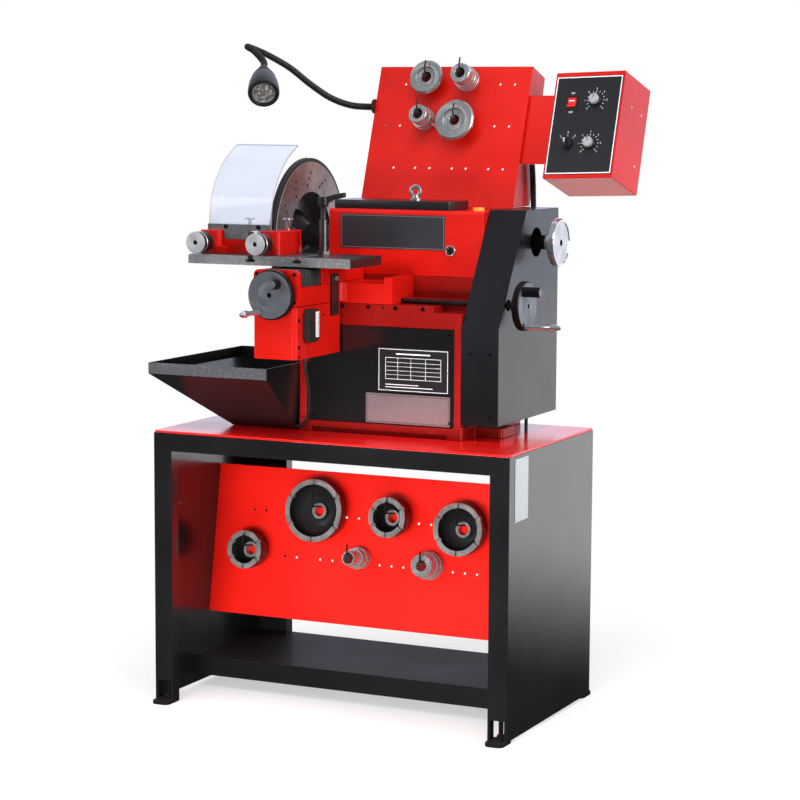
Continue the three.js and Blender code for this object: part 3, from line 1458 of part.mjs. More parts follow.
// Twin cutter body on the tool plate: two bored arms and a lower bridge
const cutterSetback = 47; // from the plate's front
const cutterDepth = 110;
const cutterInset = 2; // from the plate's left end
const armWidth = 54;
const armPitch = 155; // between the two tool bars
const armHeight = 53;
const bridgeHeight = 32;
const bridgeSetback = 23; // from the arms' front
const bridgeDepth = 80;
const armCorner = 10;
const footStep = 14;
const footHeight = 16;
const barRise = 27; // from the plate to the tool bars
const barRadius = 9.7;
const tailReach = 21; // behind the arms
const tailWidth = 30;
const screwSetin = 15; // from the arms' back to the screws
const bodyScrewInset = 33; // from the left arm's inner side
const bodyScrewShift = 10; // in front of the arm's screw
const screwBore = 4;
const screwSides = 8;
const screwRoom = 3; // between a tool bar and its screw's hole
const cutterFront = toolPlateY[0] + cutterSetback;
const cutterBack = cutterFront + cutterDepth;
const leftArm = [toolPlateX[0] + cutterInset, toolPlateX[0] + cutterInset + armWidth];
const rightArm = leftArm.map((x) => x + armPitch);
const armsTop = toolPlateTop + armHeight;
const bridgeTop = toolPlateTop + bridgeHeight;
const bridgeFront = cutterFront + bridgeSetback;
const bridgeBack = bridgeFront + bridgeDepth;
const barX = [leftArm, rightArm].map(([from, to]) => (from + to) / 2);
const barZ = toolPlateTop + barRise;
const tailBack = cutterBack + tailReach;
const armScrewAt = [barX[1], cutterBack - screwSetin];
const bodyScrewAt = [leftArm[1] + bodyScrewInset, cutterBack - screwSetin - bodyScrewShift];
{
  const bottom = toolPlateTop + gap;
  let body = join(
    prism("z", [bottom, armsTop], rounded(leftArm, [cutterFront, cutterBack], armCorner)),
    prism("z", [bottom, armsTop], rounded(rightArm, [cutterFront, cutterBack], armCorner)),
    prism("z", [bottom, armsTop], rounded([rightArm[1] - tailWidth, rightArm[1] - footStep / 2],
      [cutterBack - armCorner * 2, tailBack], armCorner)),
    block([leftArm[1] - bite, rightArm[0] + bite], [bridgeFront, bridgeBack], [bottom, bridgeTop]),
    block([leftArm[1] - armCorner, leftArm[1] + footStep], [cutterFront, bridgeBack],
      [bottom, toolPlateTop + footHeight]),
  );
  body = cut(
    body,
    ...barX.map((x) => drill("y", [cutterFront - overrun, tailBack + overrun], [x, barZ],
      barRadius + gap, smallSides)),
    rod("z", [barZ + barRadius + screwRoom, armsTop + overrun], armScrewAt, screwBore + gap * 2, screwSides),
    rod("z", [bottom + screwRoom, bridgeTop + overrun], bodyScrewAt, screwBore + gap * 2, screwSides),
  );
  add("cutter_body", body, red);
}

// Tool bars with their tips, and the micrometer knobs that feed them
const barSetback = 2; // from the arms' front
const barPast = 11; // behind the arms
const barFrom = cutterFront + barSetback;
const barTo = cutterBack + barPast;
const tipReach = 11;
const tipHalf = 6;
const tipLean = 4;
function toolBar(inward) {
  const lean = inward * tipLean;
  const shoulder = barTo + tipReach - tipLean;
  const tip = prism("z", [-tipHalf / 2, tipHalf / 2], [
    [-tipHalf, barTo - bite], [lean - tipHalf, shoulder], [lean + inward * tipHalf, barTo + tipReach],
    [lean + tipHalf, shoulder], [tipHalf, barTo - bite],
  ]);
  return join(rod("y", [barFrom, barTo], [0, 0], barRadius, smallSides), tip);
}
barX.forEach((x, i) => {
  add(["tool_bar_left", "tool_bar_right"][i], toolBar(i ? -1 : 1), steel, machine, [x, 0, barZ]);
});
const knobReach = 65; // in front of the arms
const knobFace = cutterFront - knobReach;
const knobBarrel = 25;
const knobLength = 34;
const thimbleRadius = 21;
const thimbleLength = 14;
const knobStem = 13;
const knobSocket = 4;
const knobSocketDepth = 4;
barX.forEach((x, i) => {
  const back = cutterFront - gap;
  const profile = [
    [0, knobFace + knobSocketDepth], [knobSocket, knobFace + knobSocketDepth], [knobSocket, knobFace],
    [knobBarrel - bite, knobFace], [knobBarrel, knobFace + bite], [knobBarrel, knobFace + knobLength],
    [thimbleRadius, knobFace + knobLength], [thimbleRadius, knobFace + knobLength + thimbleLength],
    [knobStem, knobFace + knobLength + thimbleLength], [knobStem, back], [0, back],
  ];
  const knobName = ["micrometer_left", "micrometer_right"][i];
  add(knobName, turned("y", profile, smallSides), zinc, machine, [x, 0, barZ]);
});

// Clamping T screws
const tBar = 27;
const tBarRadius = 2.6;
function tScrew(bottom, top) {
  return join(
    rod("z", [bottom, top], [0, 0], screwBore, screwSides),
    rod("x", [-tBar / 2, tBar / 2], [0, top - tBarRadius], tBarRadius, wireSides),
  );
}
const screwLift = 4; // from what a screw presses on to its tip
const screwHeight = 80; // above the plate
const screwTop = toolPlateTop + screwHeight;
{
  const armScrew = tScrew(barZ + barRadius + gap + screwLift, screwTop);
  const bodyScrew = tScrew(toolPlateTop + gap + screwLift, screwTop);
  add("arm_screw", armScrew, steel, machine, [...armScrewAt, 0]);
  add("body_screw", bodyScrew, steel, machine, [...bodyScrewAt, 0]);
}

// Guard bracket, and the clear guard that it clamps
const guardInset = 14; // from the left arm's outer side
const guardWidth = 163;
const stripSetback = 15; // from the arms' front
const stripThickness = 6;
const stripRise = 14; // above the arms
const greyBlockInset = 2; // from the left arm's inner side
const greyBlockWidth = 64;
const greyBlockDepth = 30;
const greyBlockHeight = 18;
const guardThickness = 3;
const guardReach = 132.2;
const guardHeight = 179;
const guardBendShares = [[0, 0], [0.047, 0.257], [0.191, 0.508], [0.523, 0.788], [1, 1]];
const guardSteps = 14;
const stripFront = cutterFront + stripSetback;
const stripTop = armsTop + stripRise;
const guardX = [leftArm[0] + guardInset, leftArm[0] + guardInset + guardWidth];
{
  const stripBack = stripFront + stripThickness;
  const greyBlockX = [leftArm[1] + greyBlockInset, leftArm[1] + greyBlockInset + greyBlockWidth];
  const bracket = join(
    block(guardX, [stripFront, stripBack], [armsTop + gap, stripTop]),
    block(greyBlockX, [stripFront, stripBack], [bridgeTop + gap, stripTop]),
    block(greyBlockX, [stripFront, stripFront + greyBlockDepth],
      [bridgeTop + gap, bridgeTop + greyBlockHeight]),
  );
  add("guard_bracket", bracket, aluminium);
}
{
  const from = stripFront + stripThickness + gap;
  const middle = from + guardThickness / 2;
  const bend = guardBendShares.map(([y, z]) => new THREE.Vector2(
    middle + guardReach * y, stripTop + bite + guardHeight * z));
  const curve = new THREE.SplineCurve(bend);
  const front = [[from, armsTop + gap]];
  const back = [[from + guardThickness, armsTop + gap]];
  for (let i = 0; i <= guardSteps; i += 1) {
    const at = curve.getPoint(i / guardSteps);
    const along = curve.getTangent(i / guardSteps);
    front.push([at.x - (along.y * guardThickness) / 2, at.y + (along.x * guardThickness) / 2]);
    back.unshift([at.x + (along.y * guardThickness) / 2, at.y - (along.x * guardThickness) / 2]);
  }
  add("guard", prism("x", guardX, [...front, ...back]), clear);
}

// The origin is the middle of the footprint, on the floor
machine.updateMatrixWorld(true);
const extent = new THREE.Box3().setFromObject(machine, true);
const centre = extent.getCenter(new THREE.Vector3());
machine.position.set(-centre.x, -centre.y, -extent.min.z);
const brakeLathe = new THREE.Group();
brakeLathe.add(machine);

export default brakeLathe;
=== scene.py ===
from functools import partial

import bmesh
import bpy
import numpy as np
from mathutils import Matrix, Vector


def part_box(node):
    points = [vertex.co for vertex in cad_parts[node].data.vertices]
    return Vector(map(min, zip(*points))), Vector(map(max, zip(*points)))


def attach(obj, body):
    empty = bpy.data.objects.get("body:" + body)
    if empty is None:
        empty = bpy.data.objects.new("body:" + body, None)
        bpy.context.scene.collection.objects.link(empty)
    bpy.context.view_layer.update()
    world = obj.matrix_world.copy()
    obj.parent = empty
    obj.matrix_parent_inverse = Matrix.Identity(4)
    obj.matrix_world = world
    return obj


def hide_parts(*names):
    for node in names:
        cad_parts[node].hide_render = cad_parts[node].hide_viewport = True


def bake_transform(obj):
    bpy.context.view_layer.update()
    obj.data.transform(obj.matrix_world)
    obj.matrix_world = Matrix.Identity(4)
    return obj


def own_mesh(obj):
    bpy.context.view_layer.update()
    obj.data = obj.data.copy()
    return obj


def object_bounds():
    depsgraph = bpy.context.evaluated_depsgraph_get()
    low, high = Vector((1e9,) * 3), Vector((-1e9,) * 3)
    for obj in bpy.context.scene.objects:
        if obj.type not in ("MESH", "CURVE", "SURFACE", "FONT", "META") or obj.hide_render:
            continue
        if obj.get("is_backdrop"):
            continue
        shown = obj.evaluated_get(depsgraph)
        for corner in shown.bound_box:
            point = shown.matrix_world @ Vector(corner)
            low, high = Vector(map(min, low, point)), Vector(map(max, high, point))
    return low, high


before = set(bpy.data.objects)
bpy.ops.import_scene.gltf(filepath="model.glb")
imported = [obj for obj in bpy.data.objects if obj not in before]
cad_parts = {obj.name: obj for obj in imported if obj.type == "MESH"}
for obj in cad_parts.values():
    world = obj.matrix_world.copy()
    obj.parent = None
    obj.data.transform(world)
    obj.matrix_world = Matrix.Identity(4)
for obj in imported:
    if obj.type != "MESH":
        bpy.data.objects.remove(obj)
cad_low, cad_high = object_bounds()


# Camera
# The machine is seen from its front right, a little above the bench, through a long lens that stands
# about five metres away.
def placed(name, data):
    """A new object of the scene."""
    made = bpy.data.objects.new(name, data)
    bpy.context.scene.collection.objects.link(made)
    return made


camera_place = (2.38778, -4.97007, 1.40087)
camera_azimuth, camera_tilt, camera_roll = np.radians([25.308, -7.044, 0.306])
camera = placed("camera", bpy.data.cameras.new("camera"))
camera.data.lens = 107.0
camera.data.sensor_width = 36.0
camera.data.clip_end = 60.0
camera.matrix_world = (
    Matrix.Translation(camera_place)
    @ Matrix.Rotation(camera_azimuth, 4, "Z")
    @ Matrix.Rotation(np.pi / 2 + camera_tilt, 4, "X")
    @ Matrix.Rotation(camera_roll, 4, "Z")
)
bpy.context.scene.camera = camera
bpy.context.scene.view_settings.view_transform = "Standard"


# Floor and studio light
# A pale floor without an end, and large soft lamps on both sides and overhead, as in a product studio.
# The room is white to the eye. Glossy pieces mirror a bright wall behind and a dark hall in front.
def empty_tree(owner):
    """The node tree of a material or world, emptied."""
    owner.use_nodes = True
    owner.node_tree.nodes.clear()
    return owner.node_tree


def new_node(tree, kind, sockets=(), **settings):
    """A shader node. Each of its sockets is set to a value, or joined to another node's socket."""
    made = tree.nodes.new("ShaderNode" + kind)
    for name, value in settings.items():
        setattr(made, name, value)
    for socket, value in dict(sockets).items():
        if isinstance(value, bpy.types.NodeSocket):
            tree.links.new(value, made.inputs[socket])
        else:
            made.inputs[socket].default_value = value
    return made


def new_material(name):
    """An empty material, and its node tree."""
    made = bpy.data.materials.new(name)
    return made, empty_tree(made)


def shown(tree, kind, sockets):
    """The shader that a material shows."""
    new_node(tree, "OutputMaterial", {"Surface": new_node(tree, kind, sockets).outputs[0]})


def ranged(tree, value, start, end, low, high, course="LINEAR"):
    """Carries a value that runs from start to end over to one that runs from low to high."""
    sockets = {"Value": value, "From Min": start, "From Max": end, "To Min": low, "To Max": high}
    return new_node(tree, "MapRange", sockets, interpolation_type=course).outputs["Result"]


def larger(tree, first, second):
    """The larger one of two values."""
    return new_node(tree, "Math", {0: first, 1: second}, operation="MAXIMUM").outputs[0]


def by_ray(tree, seen, mirrored, lighting):
    """A strength for each kind of ray: what the eye sees, also through clear sheet, what a glossy piece
    mirrors, and what lights the object. Each is a number or a socket."""
    path = new_node(tree, "LightPath")
    value = lighting
    for rays, wanted in (("Is Glossy Ray", mirrored), ("Is Camera Ray", seen), ("Is Transmission Ray", seen)):
        value = new_node(tree, "Mix", {"Factor": path.outputs[rays], "A": value, "B": wanted}).outputs["Result"]
    return value


room_light = 0.5
mirror_tint = {"Red": 0.86, "Green": 0.93, "Blue": 1.12}
world = bpy.data.worlds.new("room")
bpy.context.scene.world = world
tree = empty_tree(world)
heading = new_node(tree, "SeparateXYZ", {0: new_node(tree, "TexCoord").outputs["Generated"]})
wall = ranged(tree, heading.outputs["Y"], 0.0, 0.7, 0.06, 1.15, "SMOOTHSTEP")
ceiling = ranged(tree, heading.outputs["Z"], 0.12, 0.5, 0.0, 0.26, "SMOOTHSTEP")
tint = {channel: by_ray(tree, 1.0, share, 1.0) for channel, share in mirror_tint.items()}
background = new_node(tree, "Background", {
    "Color": new_node(tree, "CombineColor", tint).outputs[0],
    "Strength": by_ray(tree, 1.0, larger(tree, wall, ceiling), room_light)})
new_node(tree, "OutputWorld", {"Surface": background.outputs[0]})

floor_half, gap_under_feet = 12.0, 0.0005
floor_mesh = bpy.data.meshes.new("floor")
floor_mesh.from_pydata([(x * floor_half, y * floor_half, cad_low.z - gap_under_feet)
                        for x, y in ((-1, -1), (1, -1), (1, 1), (-1, 1))], [], [(0, 1, 2, 3)])
floor = placed("floor", floor_mesh)
floor_paper, tree = new_material("floor_paper")
paper = new_node(tree, "BsdfDiffuse", {"Color": (0.62, 0.62, 0.625, 1)})
glow = new_node(tree, "Emission", {"Strength": by_ray(tree, 0.45, 0.0, 0.0)})
near = new_node(tree, "AddShader", {0: paper.outputs[0], 1: glow.outputs[0]})
on_floor = new_node(tree, "TexCoord").outputs["Object"]
distance = new_node(tree, "VectorMath", {0: on_floor}, operation="LENGTH").outputs["Value"]
depth = new_node(tree, "SeparateXYZ", {0: on_floor}).outputs["Y"]
hall_to_wall = ranged(tree, depth, 0.3, 2.4, 0.03, 1.3, "SMOOTHSTEP")
far = new_node(tree, "Emission", {"Strength": by_ray(tree, 1.0, hall_to_wall, room_light)})
fade = ranged(tree, distance, 0.75, 1.7, 0.0, 1.0, "SMOOTHSTEP")
shown(tree, "MixShader", {"Fac": larger(tree, fade, by_ray(tree, 0.0, 1.0, 0.0)), 1: near.outputs[0],
                          2: far.outputs[0]})
floor_mesh.materials.append(floor_paper)
floor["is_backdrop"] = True

bench_middle = (0, 0, 0.85)
lamps = {
    "left_softbox": ((-3.2, -3.4, 2.4), (1.6, 2.4), 27.0, bench_middle, 180),
    "right_softbox": ((4.2, -0.9, 2.1), (1.4, 2.6), 112.0, bench_middle, 180),
    "top_softbox": ((0.2, -1.3, 4.4), (3.0, 2.0), 100.0, bench_middle, 180),
    "low_softbox": ((0.2, -2.3, 0.3), (1.8, 0.5), 13.0, (0, 0.2, 0.22), 60),
}
for name, (place, size, power, aim, spread) in lamps.items():
    lamp = bpy.data.lights.new(name, "AREA")
    lamp.shape = "RECTANGLE"
    lamp.size, lamp.size_y = size
    lamp.energy = power
    lamp.spread = np.radians(spread)
    stand = placed(name, lamp)
    stand.visible_camera = False
    stand.visible_glossy = name in ("left_softbox", "right_softbox")
    back = np.subtract(place, aim)
    side = np.cross((0, 0, 1), back)
    ways = [way / np.linalg.norm(way) for way in (side, np.cross(back, side), back)]
    stand.matrix_world = Matrix.Translation(place) @ Matrix(np.column_stack(ways).tolist()).to_4x4()


# Cords
# A thin black rubber cord comes up through the bench top into the drive cover, and another hangs from
# the feed box down to the foot of the base. A ribbed conduit leads from the drive cover's back to the
# arm of the control box.
bench_left, bench_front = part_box("bench_top")[0][:2]
panel_height = 0.640
panel_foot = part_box("bench_top")[1].z - panel_height


def spot(points):
    """Millimetres from the bench's front left corner, at its side panels' feet, as places in metres."""
    return np.asarray(points, float) / 1000 + (bench_left, bench_front, panel_foot)


def reach_along(points):
    """How far along a line each of its points lies."""
    return np.concatenate([[0], np.cumsum(np.linalg.norm(np.diff(points, axis=0), axis=1))])


def smooth_route(points, count):
    """A curve through the points, at count places evenly spaced along it (Catmull-Rom), and its length."""
    ends = np.vstack([2 * points[0] - points[1], points, 2 * points[-1] - points[-2]])
    t = np.linspace(0, 1, 40, endpoint=False)[:, None]
    stretches = [
        0.5 * (2 * b + (c - a) * t + (2 * a - 5 * b + 4 * c - d) * t**2 + (3 * b - a - 3 * c + d) * t**3)
        for a, b, c, d in zip(ends, ends[1:], ends[2:], ends[3:])
    ]
    fine = np.vstack([*stretches, points[-1:]])
    reach = reach_along(fine)
    even = np.linspace(0, reach[-1], count)
    return np.column_stack([np.interp(even, reach, fine[:, k]) for k in range(3)]), reach[-1]


def quads_of(rows, columns, ring=False):
    """The corner numbers of the quads between rows of points that run round, and in a ring also between
    the last row and the first."""
    index = np.arange(rows * columns).reshape(rows, columns)
    index = np.column_stack([index, index[:, 0]])
    if ring:
        index = np.vstack([index, index[0]])
    return np.stack([index[:-1, :-1], index[:-1, 1:], index[1:, 1:], index[1:, :-1]], axis=-1).reshape(-1, 4)


def tube_of(rows, columns):
    """The faces of a tube: the quads of its wall, and a flat face at each end."""
    end = np.arange(columns)
    return [*quads_of(rows, columns), end[::-1], end + (rows - 1) * columns]


def full_turn(sides):
    """The angles of that many corners evenly round a circle."""
    return np.linspace(0, 2 * np.pi, sides, endpoint=False)


def round_about(turn, side, up):
    """The directions at the angles of turn, from side towards up."""
    return np.cos(turn)[:, None] * side[..., None, :] + np.sin(turn)[:, None] * up[..., None, :]


def close_up(mesh, merge, sharp):
    """Merges doubles, turns all faces outwards, and smooths every edge that bends less than sharp degrees."""
    work = bmesh.new()
    work.from_mesh(mesh)
    bmesh.ops.remove_doubles(work, verts=work.verts, dist=merge)
    bmesh.ops.recalc_face_normals(work, faces=work.faces)
    if work.calc_volume(signed=True) < 0:
        bmesh.ops.reverse_faces(work, faces=work.faces)
    work.to_mesh(mesh)
    work.free()
    mesh.shade_smooth()
    mesh.set_sharp_from_angle(angle=np.radians(sharp))


def put_in(name, mesh, body, replaced):
    """Puts a mesh in the scene, the body it rides on, and the nodes it replaces."""
    made = placed(name, mesh)
    if body:
        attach(made, body)
    if replaced:
        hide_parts(*replaced)
    return made


def piece(name, points, faces, material, body, slot=None, replaced=(), sharp=35.0):
    """A closed piece of one finish, from points in metres."""
    mesh = bpy.data.meshes.new(name)
    mesh.from_pydata(np.asarray(points).tolist(), [], [list(map(int, face)) for face in faces])
    mesh.materials.append(material)
    close_up(mesh, 1e-6, sharp)
    return put_in(name, mesh, body, replaced)


def round_tube(name, route, radius, sides, material, body, ribs=0.0, pitch=1.0, **more):
    """A tube round a route: a circle in the plane square to it, which swells and shrinks by ribs every
    pitch metres."""
    along = np.gradient(route, axis=0)
    along /= np.linalg.norm(along, axis=1)[:, None]
    side = np.cross(along, np.eye(3)[np.argmin(np.abs(along).max(axis=0))])
    side /= np.linalg.norm(side, axis=1)[:, None]
    ring = round_about(full_turn(sides), side, np.cross(along, side))
    swell = radius + ribs * np.cos(2 * np.pi * reach_along(route) / pitch)
    points = route[:, None] + swell[:, None, None] * ring
    return piece(name, points.reshape(-1, 3), tube_of(len(route), sides), material, body, **more)


def grains(tree, scale, detail=2):
    """Noise through the whole piece, from 0 to 1."""
    where = new_node(tree, "TexCoord").outputs["Object"]
    return new_node(tree, "TexNoise", {"Vector": where, "Scale": scale, "Detail": detail}).outputs["Fac"]


def toned(tree, factor, low, high, start=0.0, end=1.0):
    """A colour that goes from low to high while the factor goes from start to end."""
    made = new_node(tree, "ValToRGB", {"Fac": factor})
    for stop, position, color in zip(made.color_ramp.elements, (start, end), (low, high)):
        stop.position, stop.color = position, (*color, 1)
    return made.outputs["Color"]


def bumps(tree, height, strength, distance):
    """A relief from a height."""
    return new_node(tree, "Bump", {"Height": height, "Strength": strength, "Distance": distance}).outputs["Normal"]


def rubbery(name, color, roughness, grain):
    """Black rubber or soft plastic: a fine uneven skin, with dusty lighter patches."""
    made, tree = new_material(name)
    skin = grains(tree, grain, 4)
    shown(tree, "BsdfPrincipled", {
        "Base Color": toned(tree, skin, color, [c * 1.7 + 0.004 for c in color], 0.35, 0.85),
        "Roughness": roughness, "Normal": bumps(tree, skin, 0.4, 0.0003)})
    return made


cord_rubber = rubbery("cord_rubber", (0.012, 0.012, 0.013), 0.55, 420)
mains_route, mains_length = smooth_route(spot([
    (790, 360, 640.3), (790, 360, 670), (790, 360, 691), (778, 395, 745), (730, 485, 880), (722, 501, 985),
    (722, 506, 1040)]), 90)
mains_cord = round_tube("mains_cord", mains_route, 0.004, 16, cord_rubber, "bench", slot="rubber")

conduit_route, conduit_length = smooth_route(spot([
    (722, 501, 1040), (722, 527, 1040), (722, 545, 1056), (722, 556, 1090), (722, 556, 1150), (722, 552, 1210),
    (722, 545, 1256)]), 300)
conduit = round_tube("conduit", conduit_route, 0.0068, 24, cord_rubber, "bench", ribs=0.0007, pitch=0.0042,
                     slot="rubber", replaced=["supply_cable"])

feed_route, feed_length = smooth_route(spot([
    (392, 12, 820.7), (392, 12, 800.7), (388, 30, 775), (372, 70, 722), (345, 112, 678), (318, 140, 655),
    (300, 148, 650)]), 90)
feed_cord = round_tube("feed_cord", feed_route, 0.004, 16, cord_rubber, None, slot="rubber")
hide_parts("feed_cable")
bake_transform(feed_cord)


# Bench frame
# Folded and welded black sheet: side panels with corner posts, rails and a low shelf, on foot plates with
# levelling studs. It is sprayed gloss black, and its edges are broken as a press leaves them. The shelf's
# top is matte, with a faint red tint that is a painted reflection of the red board.
def refinish(made, material, chosen):
    """Gives another finish to the faces that chosen picks by their middles, in bench millimetres, and
    their directions."""
    mesh = made.data
    count = len(mesh.polygons)
    middles, ways, index = np.empty(count * 3), np.empty(count * 3), np.empty(count, np.int32)
    mesh.polygons.foreach_get("center", middles)
    mesh.polygons.foreach_get("normal", ways)
    mesh.polygons.foreach_get("material_index", index)
    middles = (middles.reshape(-1, 3) - (bench_left, bench_front, panel_foot)) * 1000
    index[chosen(middles, ways.reshape(-1, 3))] = len(mesh.materials)
    mesh.materials.append(material)
    mesh.polygons.foreach_set("material_index", index)


def sprayed(name, color, gloss, peel=0.3, sheen=0.3):
    """Gloss paint: an even colour that changes slowly in tone and gloss, with a fine orange peel."""
    made, tree = new_material(name)
    slow, fine = grains(tree, 5, 3), grains(tree, 260)
    pale, deep = [min(1, c * 1.08 + 0.001) for c in color], [c * 0.86 for c in color]
    shown(tree, "BsdfPrincipled", {
        "Base Color": toned(tree, slow, deep, pale, 0.3, 0.7),
        "Roughness": ranged(tree, slow, 0.3, 0.75, gloss, gloss + 0.12),
        "Specular IOR Level": sheen, "Coat Weight": sheen / 2, "Coat Roughness": 0.05,
        "Normal": bumps(tree, fine, peel, 0.0002)})
    return made


def edged(name, node, material, body, width, steps=2):
    """A copy of a CAD node with its flat triangles joined and its edges rounded by width."""
    bent = np.radians(34)
    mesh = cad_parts[node].data.copy()
    mesh.name = name
    work = bmesh.new()
    work.from_mesh(mesh)
    bmesh.ops.remove_doubles(work, verts=work.verts, dist=2e-6)
    bmesh.ops.dissolve_limit(work, angle_limit=np.radians(0.7), verts=work.verts, edges=work.edges)
    work.to_mesh(mesh)
    work.free()
    mesh.materials.clear()
    mesh.materials.append(material)
    if "custom_normal" in mesh.attributes:
        mesh.attributes.remove(mesh.attributes["custom_normal"])
    mesh.shade_smooth()
    mesh.set_sharp_from_angle(angle=bent)
    made = put_in(name, mesh, body, [node])
    bevel = made.modifiers.new("broken_edges", "BEVEL")
    bevel.width = width
    bevel.segments = steps
    bevel.limit_method = "ANGLE"
    bevel.angle_limit = bent
    bevel.miter_outer = "MITER_ARC"
    made.modifiers.new("flat_faces", "WEIGHTED_NORMAL").keep_sharp = True
    return made


gloss_black = sprayed("gloss_black", (0.0075, 0.0075, 0.0082), 0.16, 0.2, 0.7)
# The shelf's top is matte black with a faint red tint: a painted reflection of the red board.
shelf_black_with_red_reflection = sprayed("shelf_black_with_red_reflection", (0.02, 0.016, 0.0175), 0.55, 0.3, 0.08)
frame_shell = edged("frame_shell", "bench_frame", gloss_black, "bench", 0.0009)
half_height = 400
refinish(frame_shell, shelf_black_with_red_reflection, lambda at, way: (way[:, 2] > 0.9) & (at[:, 2] < half_height))


# Bench top
# One sheet of red gloss steel with round corners, laid on the frame and folded down a little all round.
# Its finish is as smooth as a mirror, and shows the castings above it.
# The top's red is paler than the castings' red: painted light, for the light that falls on the bench top.
brightened_gloss_red = sprayed("brightened_gloss_red", (0.88, 0.009, 0.007), 0.16, 0.18, 0.5)
edged("top_sheet", "bench_top", brightened_gloss_red, "bench", 0.0013, 3)


# Bench board
# A sheet with folded edges that leans back between the side panels, sprayed in the same red. Pairs of
# holes take wire hooks, and six hooks are in use.
def leaning(y, z, lean):
    """A board's foot and its three directions: along it, up its face, and out of it."""
    rise, reach = np.cos(lean), np.sin(lean)
    return spot((0, y, z)), np.array([(1, 0, 0), (0, reach, rise), (0, -rise, reach)])


def on_board(board, points):
    """Millimetres in a board's own directions, as places in metres."""
    foot, directions = board
    return foot + np.asarray(points, float) / 1000 @ directions


corner_steps = 3


def eased(outline, radius, ring):
    """An outline with its corners rounded: each becomes a quadratic curve that starts radius away."""
    points = np.asarray(outline, float)
    before = np.roll(points, 1, axis=0) if ring else np.vstack([points[:1], points[:-1]])
    after = np.roll(points, -1, axis=0) if ring else np.vstack([points[1:], points[-1:]])
    back, ahead = before - points, after - points
    back_reach = np.linalg.norm(back, axis=1, keepdims=True)
    ahead_reach = np.linalg.norm(ahead, axis=1, keepdims=True)
    room = np.minimum(radius, 0.45 * np.minimum(back_reach, ahead_reach))
    start = points + back / np.maximum(back_reach, 1e-9) * room
    end = points + ahead / np.maximum(ahead_reach, 1e-9) * room
    t = np.linspace(0, 1, corner_steps + 1)[None, :, None]
    curve = (1 - t) ** 2 * start[:, None] + 2 * t * (1 - t) * points[:, None] + t**2 * end[:, None]
    return curve.reshape(-1, 2)


def bar_of(name, place, outline, reach, material, body, ease=1.0, end_ease=0.0, **more):
    """A prism: an outline carried along a reach. place turns rows of (reach, outline first, outline
    second) in millimetres into metres. Its corners are eased, and its ends are drawn in by end_ease."""
    low, high = reach
    section = eased(outline, ease, True)
    middle = section.mean(axis=0)
    size = np.abs(section - middle).max()
    stations = [(low, 0), (high, 0)]
    if end_ease:
        stations = [(low, end_ease), (low + end_ease, 0), (high - end_ease, 0), (high, end_ease)]
    rings = [np.column_stack([np.full(len(section), at), middle + (section - middle) * (1 - inset / size)])
             for at, inset in stations]
    faces = tube_of(len(rings), len(section))
    return piece(name, place(np.vstack(rings)), faces, material, body, **more)


def cut_by(made, cutters):
    """Cuts other closed meshes out of a piece, and removes them."""
    for cutter in cutters:
        modifier = made.modifiers.new("cut", "BOOLEAN")
        modifier.object = cutter
        modifier.solver = "EXACT"
    graph = bpy.context.evaluated_depsgraph_get()
    mesh = bpy.data.meshes.new_from_object(made.evaluated_get(graph))
    made.modifiers.clear()
    made.data = mesh
    mesh.shade_smooth()
    mesh.set_sharp_from_angle(angle=np.radians(35))
    made.modifiers.new("flat_faces", "WEIGHTED_NORMAL").keep_sharp = True
    for cutter in cutters:
        bpy.data.objects.remove(cutter)


def prisms(outlines, low, high):
    """Rows of (across, up, level) and the faces of a prism over each outline, from level low to high."""
    corners = len(outlines[0])
    points = [np.column_stack([outline, np.full(corners, level)]) for outline in outlines for level in (low, high)]
    faces = [face + 2 * corners * k for k in range(len(outlines)) for face in tube_of(2, corners)]
    return np.vstack(points), faces


def pins_of(place, centres, radius, reach):
    """One mesh of round pins, all alike, that stand on a plane and pass through it both ways."""
    turn = full_turn(12)
    ring = radius * np.column_stack([np.cos(turn), np.sin(turn)])
    points, faces = prisms(np.asarray(centres, float)[:, None] + ring, -reach, reach)
    return piece("pins", place(points), faces, brightened_gloss_red, None)


board_red = sprayed("board_red", (0.66, 0.009, 0.0045), 0.3, 0.35)
bench_board = leaning(249, 164, np.radians(9.5))
hook_hole, bore_radius, off_board = 3.2, 12.7, 0.3
board_long, board_thick, board_fold = 362, 3, 25
board_holes = [(x, 255.5) for x in (107, 139, 200, 232, 328, 358, 390, 422, 548, 580, 612, 735, 767, 830)]
board_holes += [(x, 149.3) for x in (107, 139, 200, 232, 295, 328, 359, 391, 419, 454, 485, 516, 548, 612,
                                     644, 675, 706, 767, 799, 830)]
folded = [(0, 0), (board_long, 0), (board_long, -board_fold), (board_long - board_thick, -board_fold),
          (board_long - board_thick, -board_thick), (board_thick, -board_thick), (board_thick, -board_fold),
          (0, -board_fold)]
on_lower = partial(on_board, bench_board)
lower_board = bar_of("lower_board", on_lower, folded, (3.3, 896.7), board_red, None, ease=1.2, slot="red_paint")
cut_by(lower_board, [pins_of(on_lower, board_holes, hook_hole, 8)])
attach(lower_board, "bench")
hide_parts("bench_board")

hook_wire, tree = new_material("hook_wire")
wire_scale = toned(tree, grains(tree, 500), (0.02, 0.02, 0.02), (0.12, 0.11, 0.1))
shown(tree, "BsdfPrincipled", {"Base Color": wire_scale, "Metallic": 0.9, "Roughness": 0.42})


def hook_on(name, board, x, s, reach, rise):
    """A wire hook: out of the board, along the top of a bore, then up in front of what hangs on it."""
    bend, wire, slack = 6.0, 2.0, 0.3
    height = s + bore_radius - wire - slack
    route, _ = smooth_route(on_board(board, [
        (x, height, -1), (x, height, reach / 2), (x, height, reach - bend),
        (x, height + bend / 2, reach - wire), (x, height + bend + wire, reach), (x, height + rise, reach)]), 40)
    round_tube(name, route, wire / 1000, 12, hook_wire, "bench", slot="red_paint")


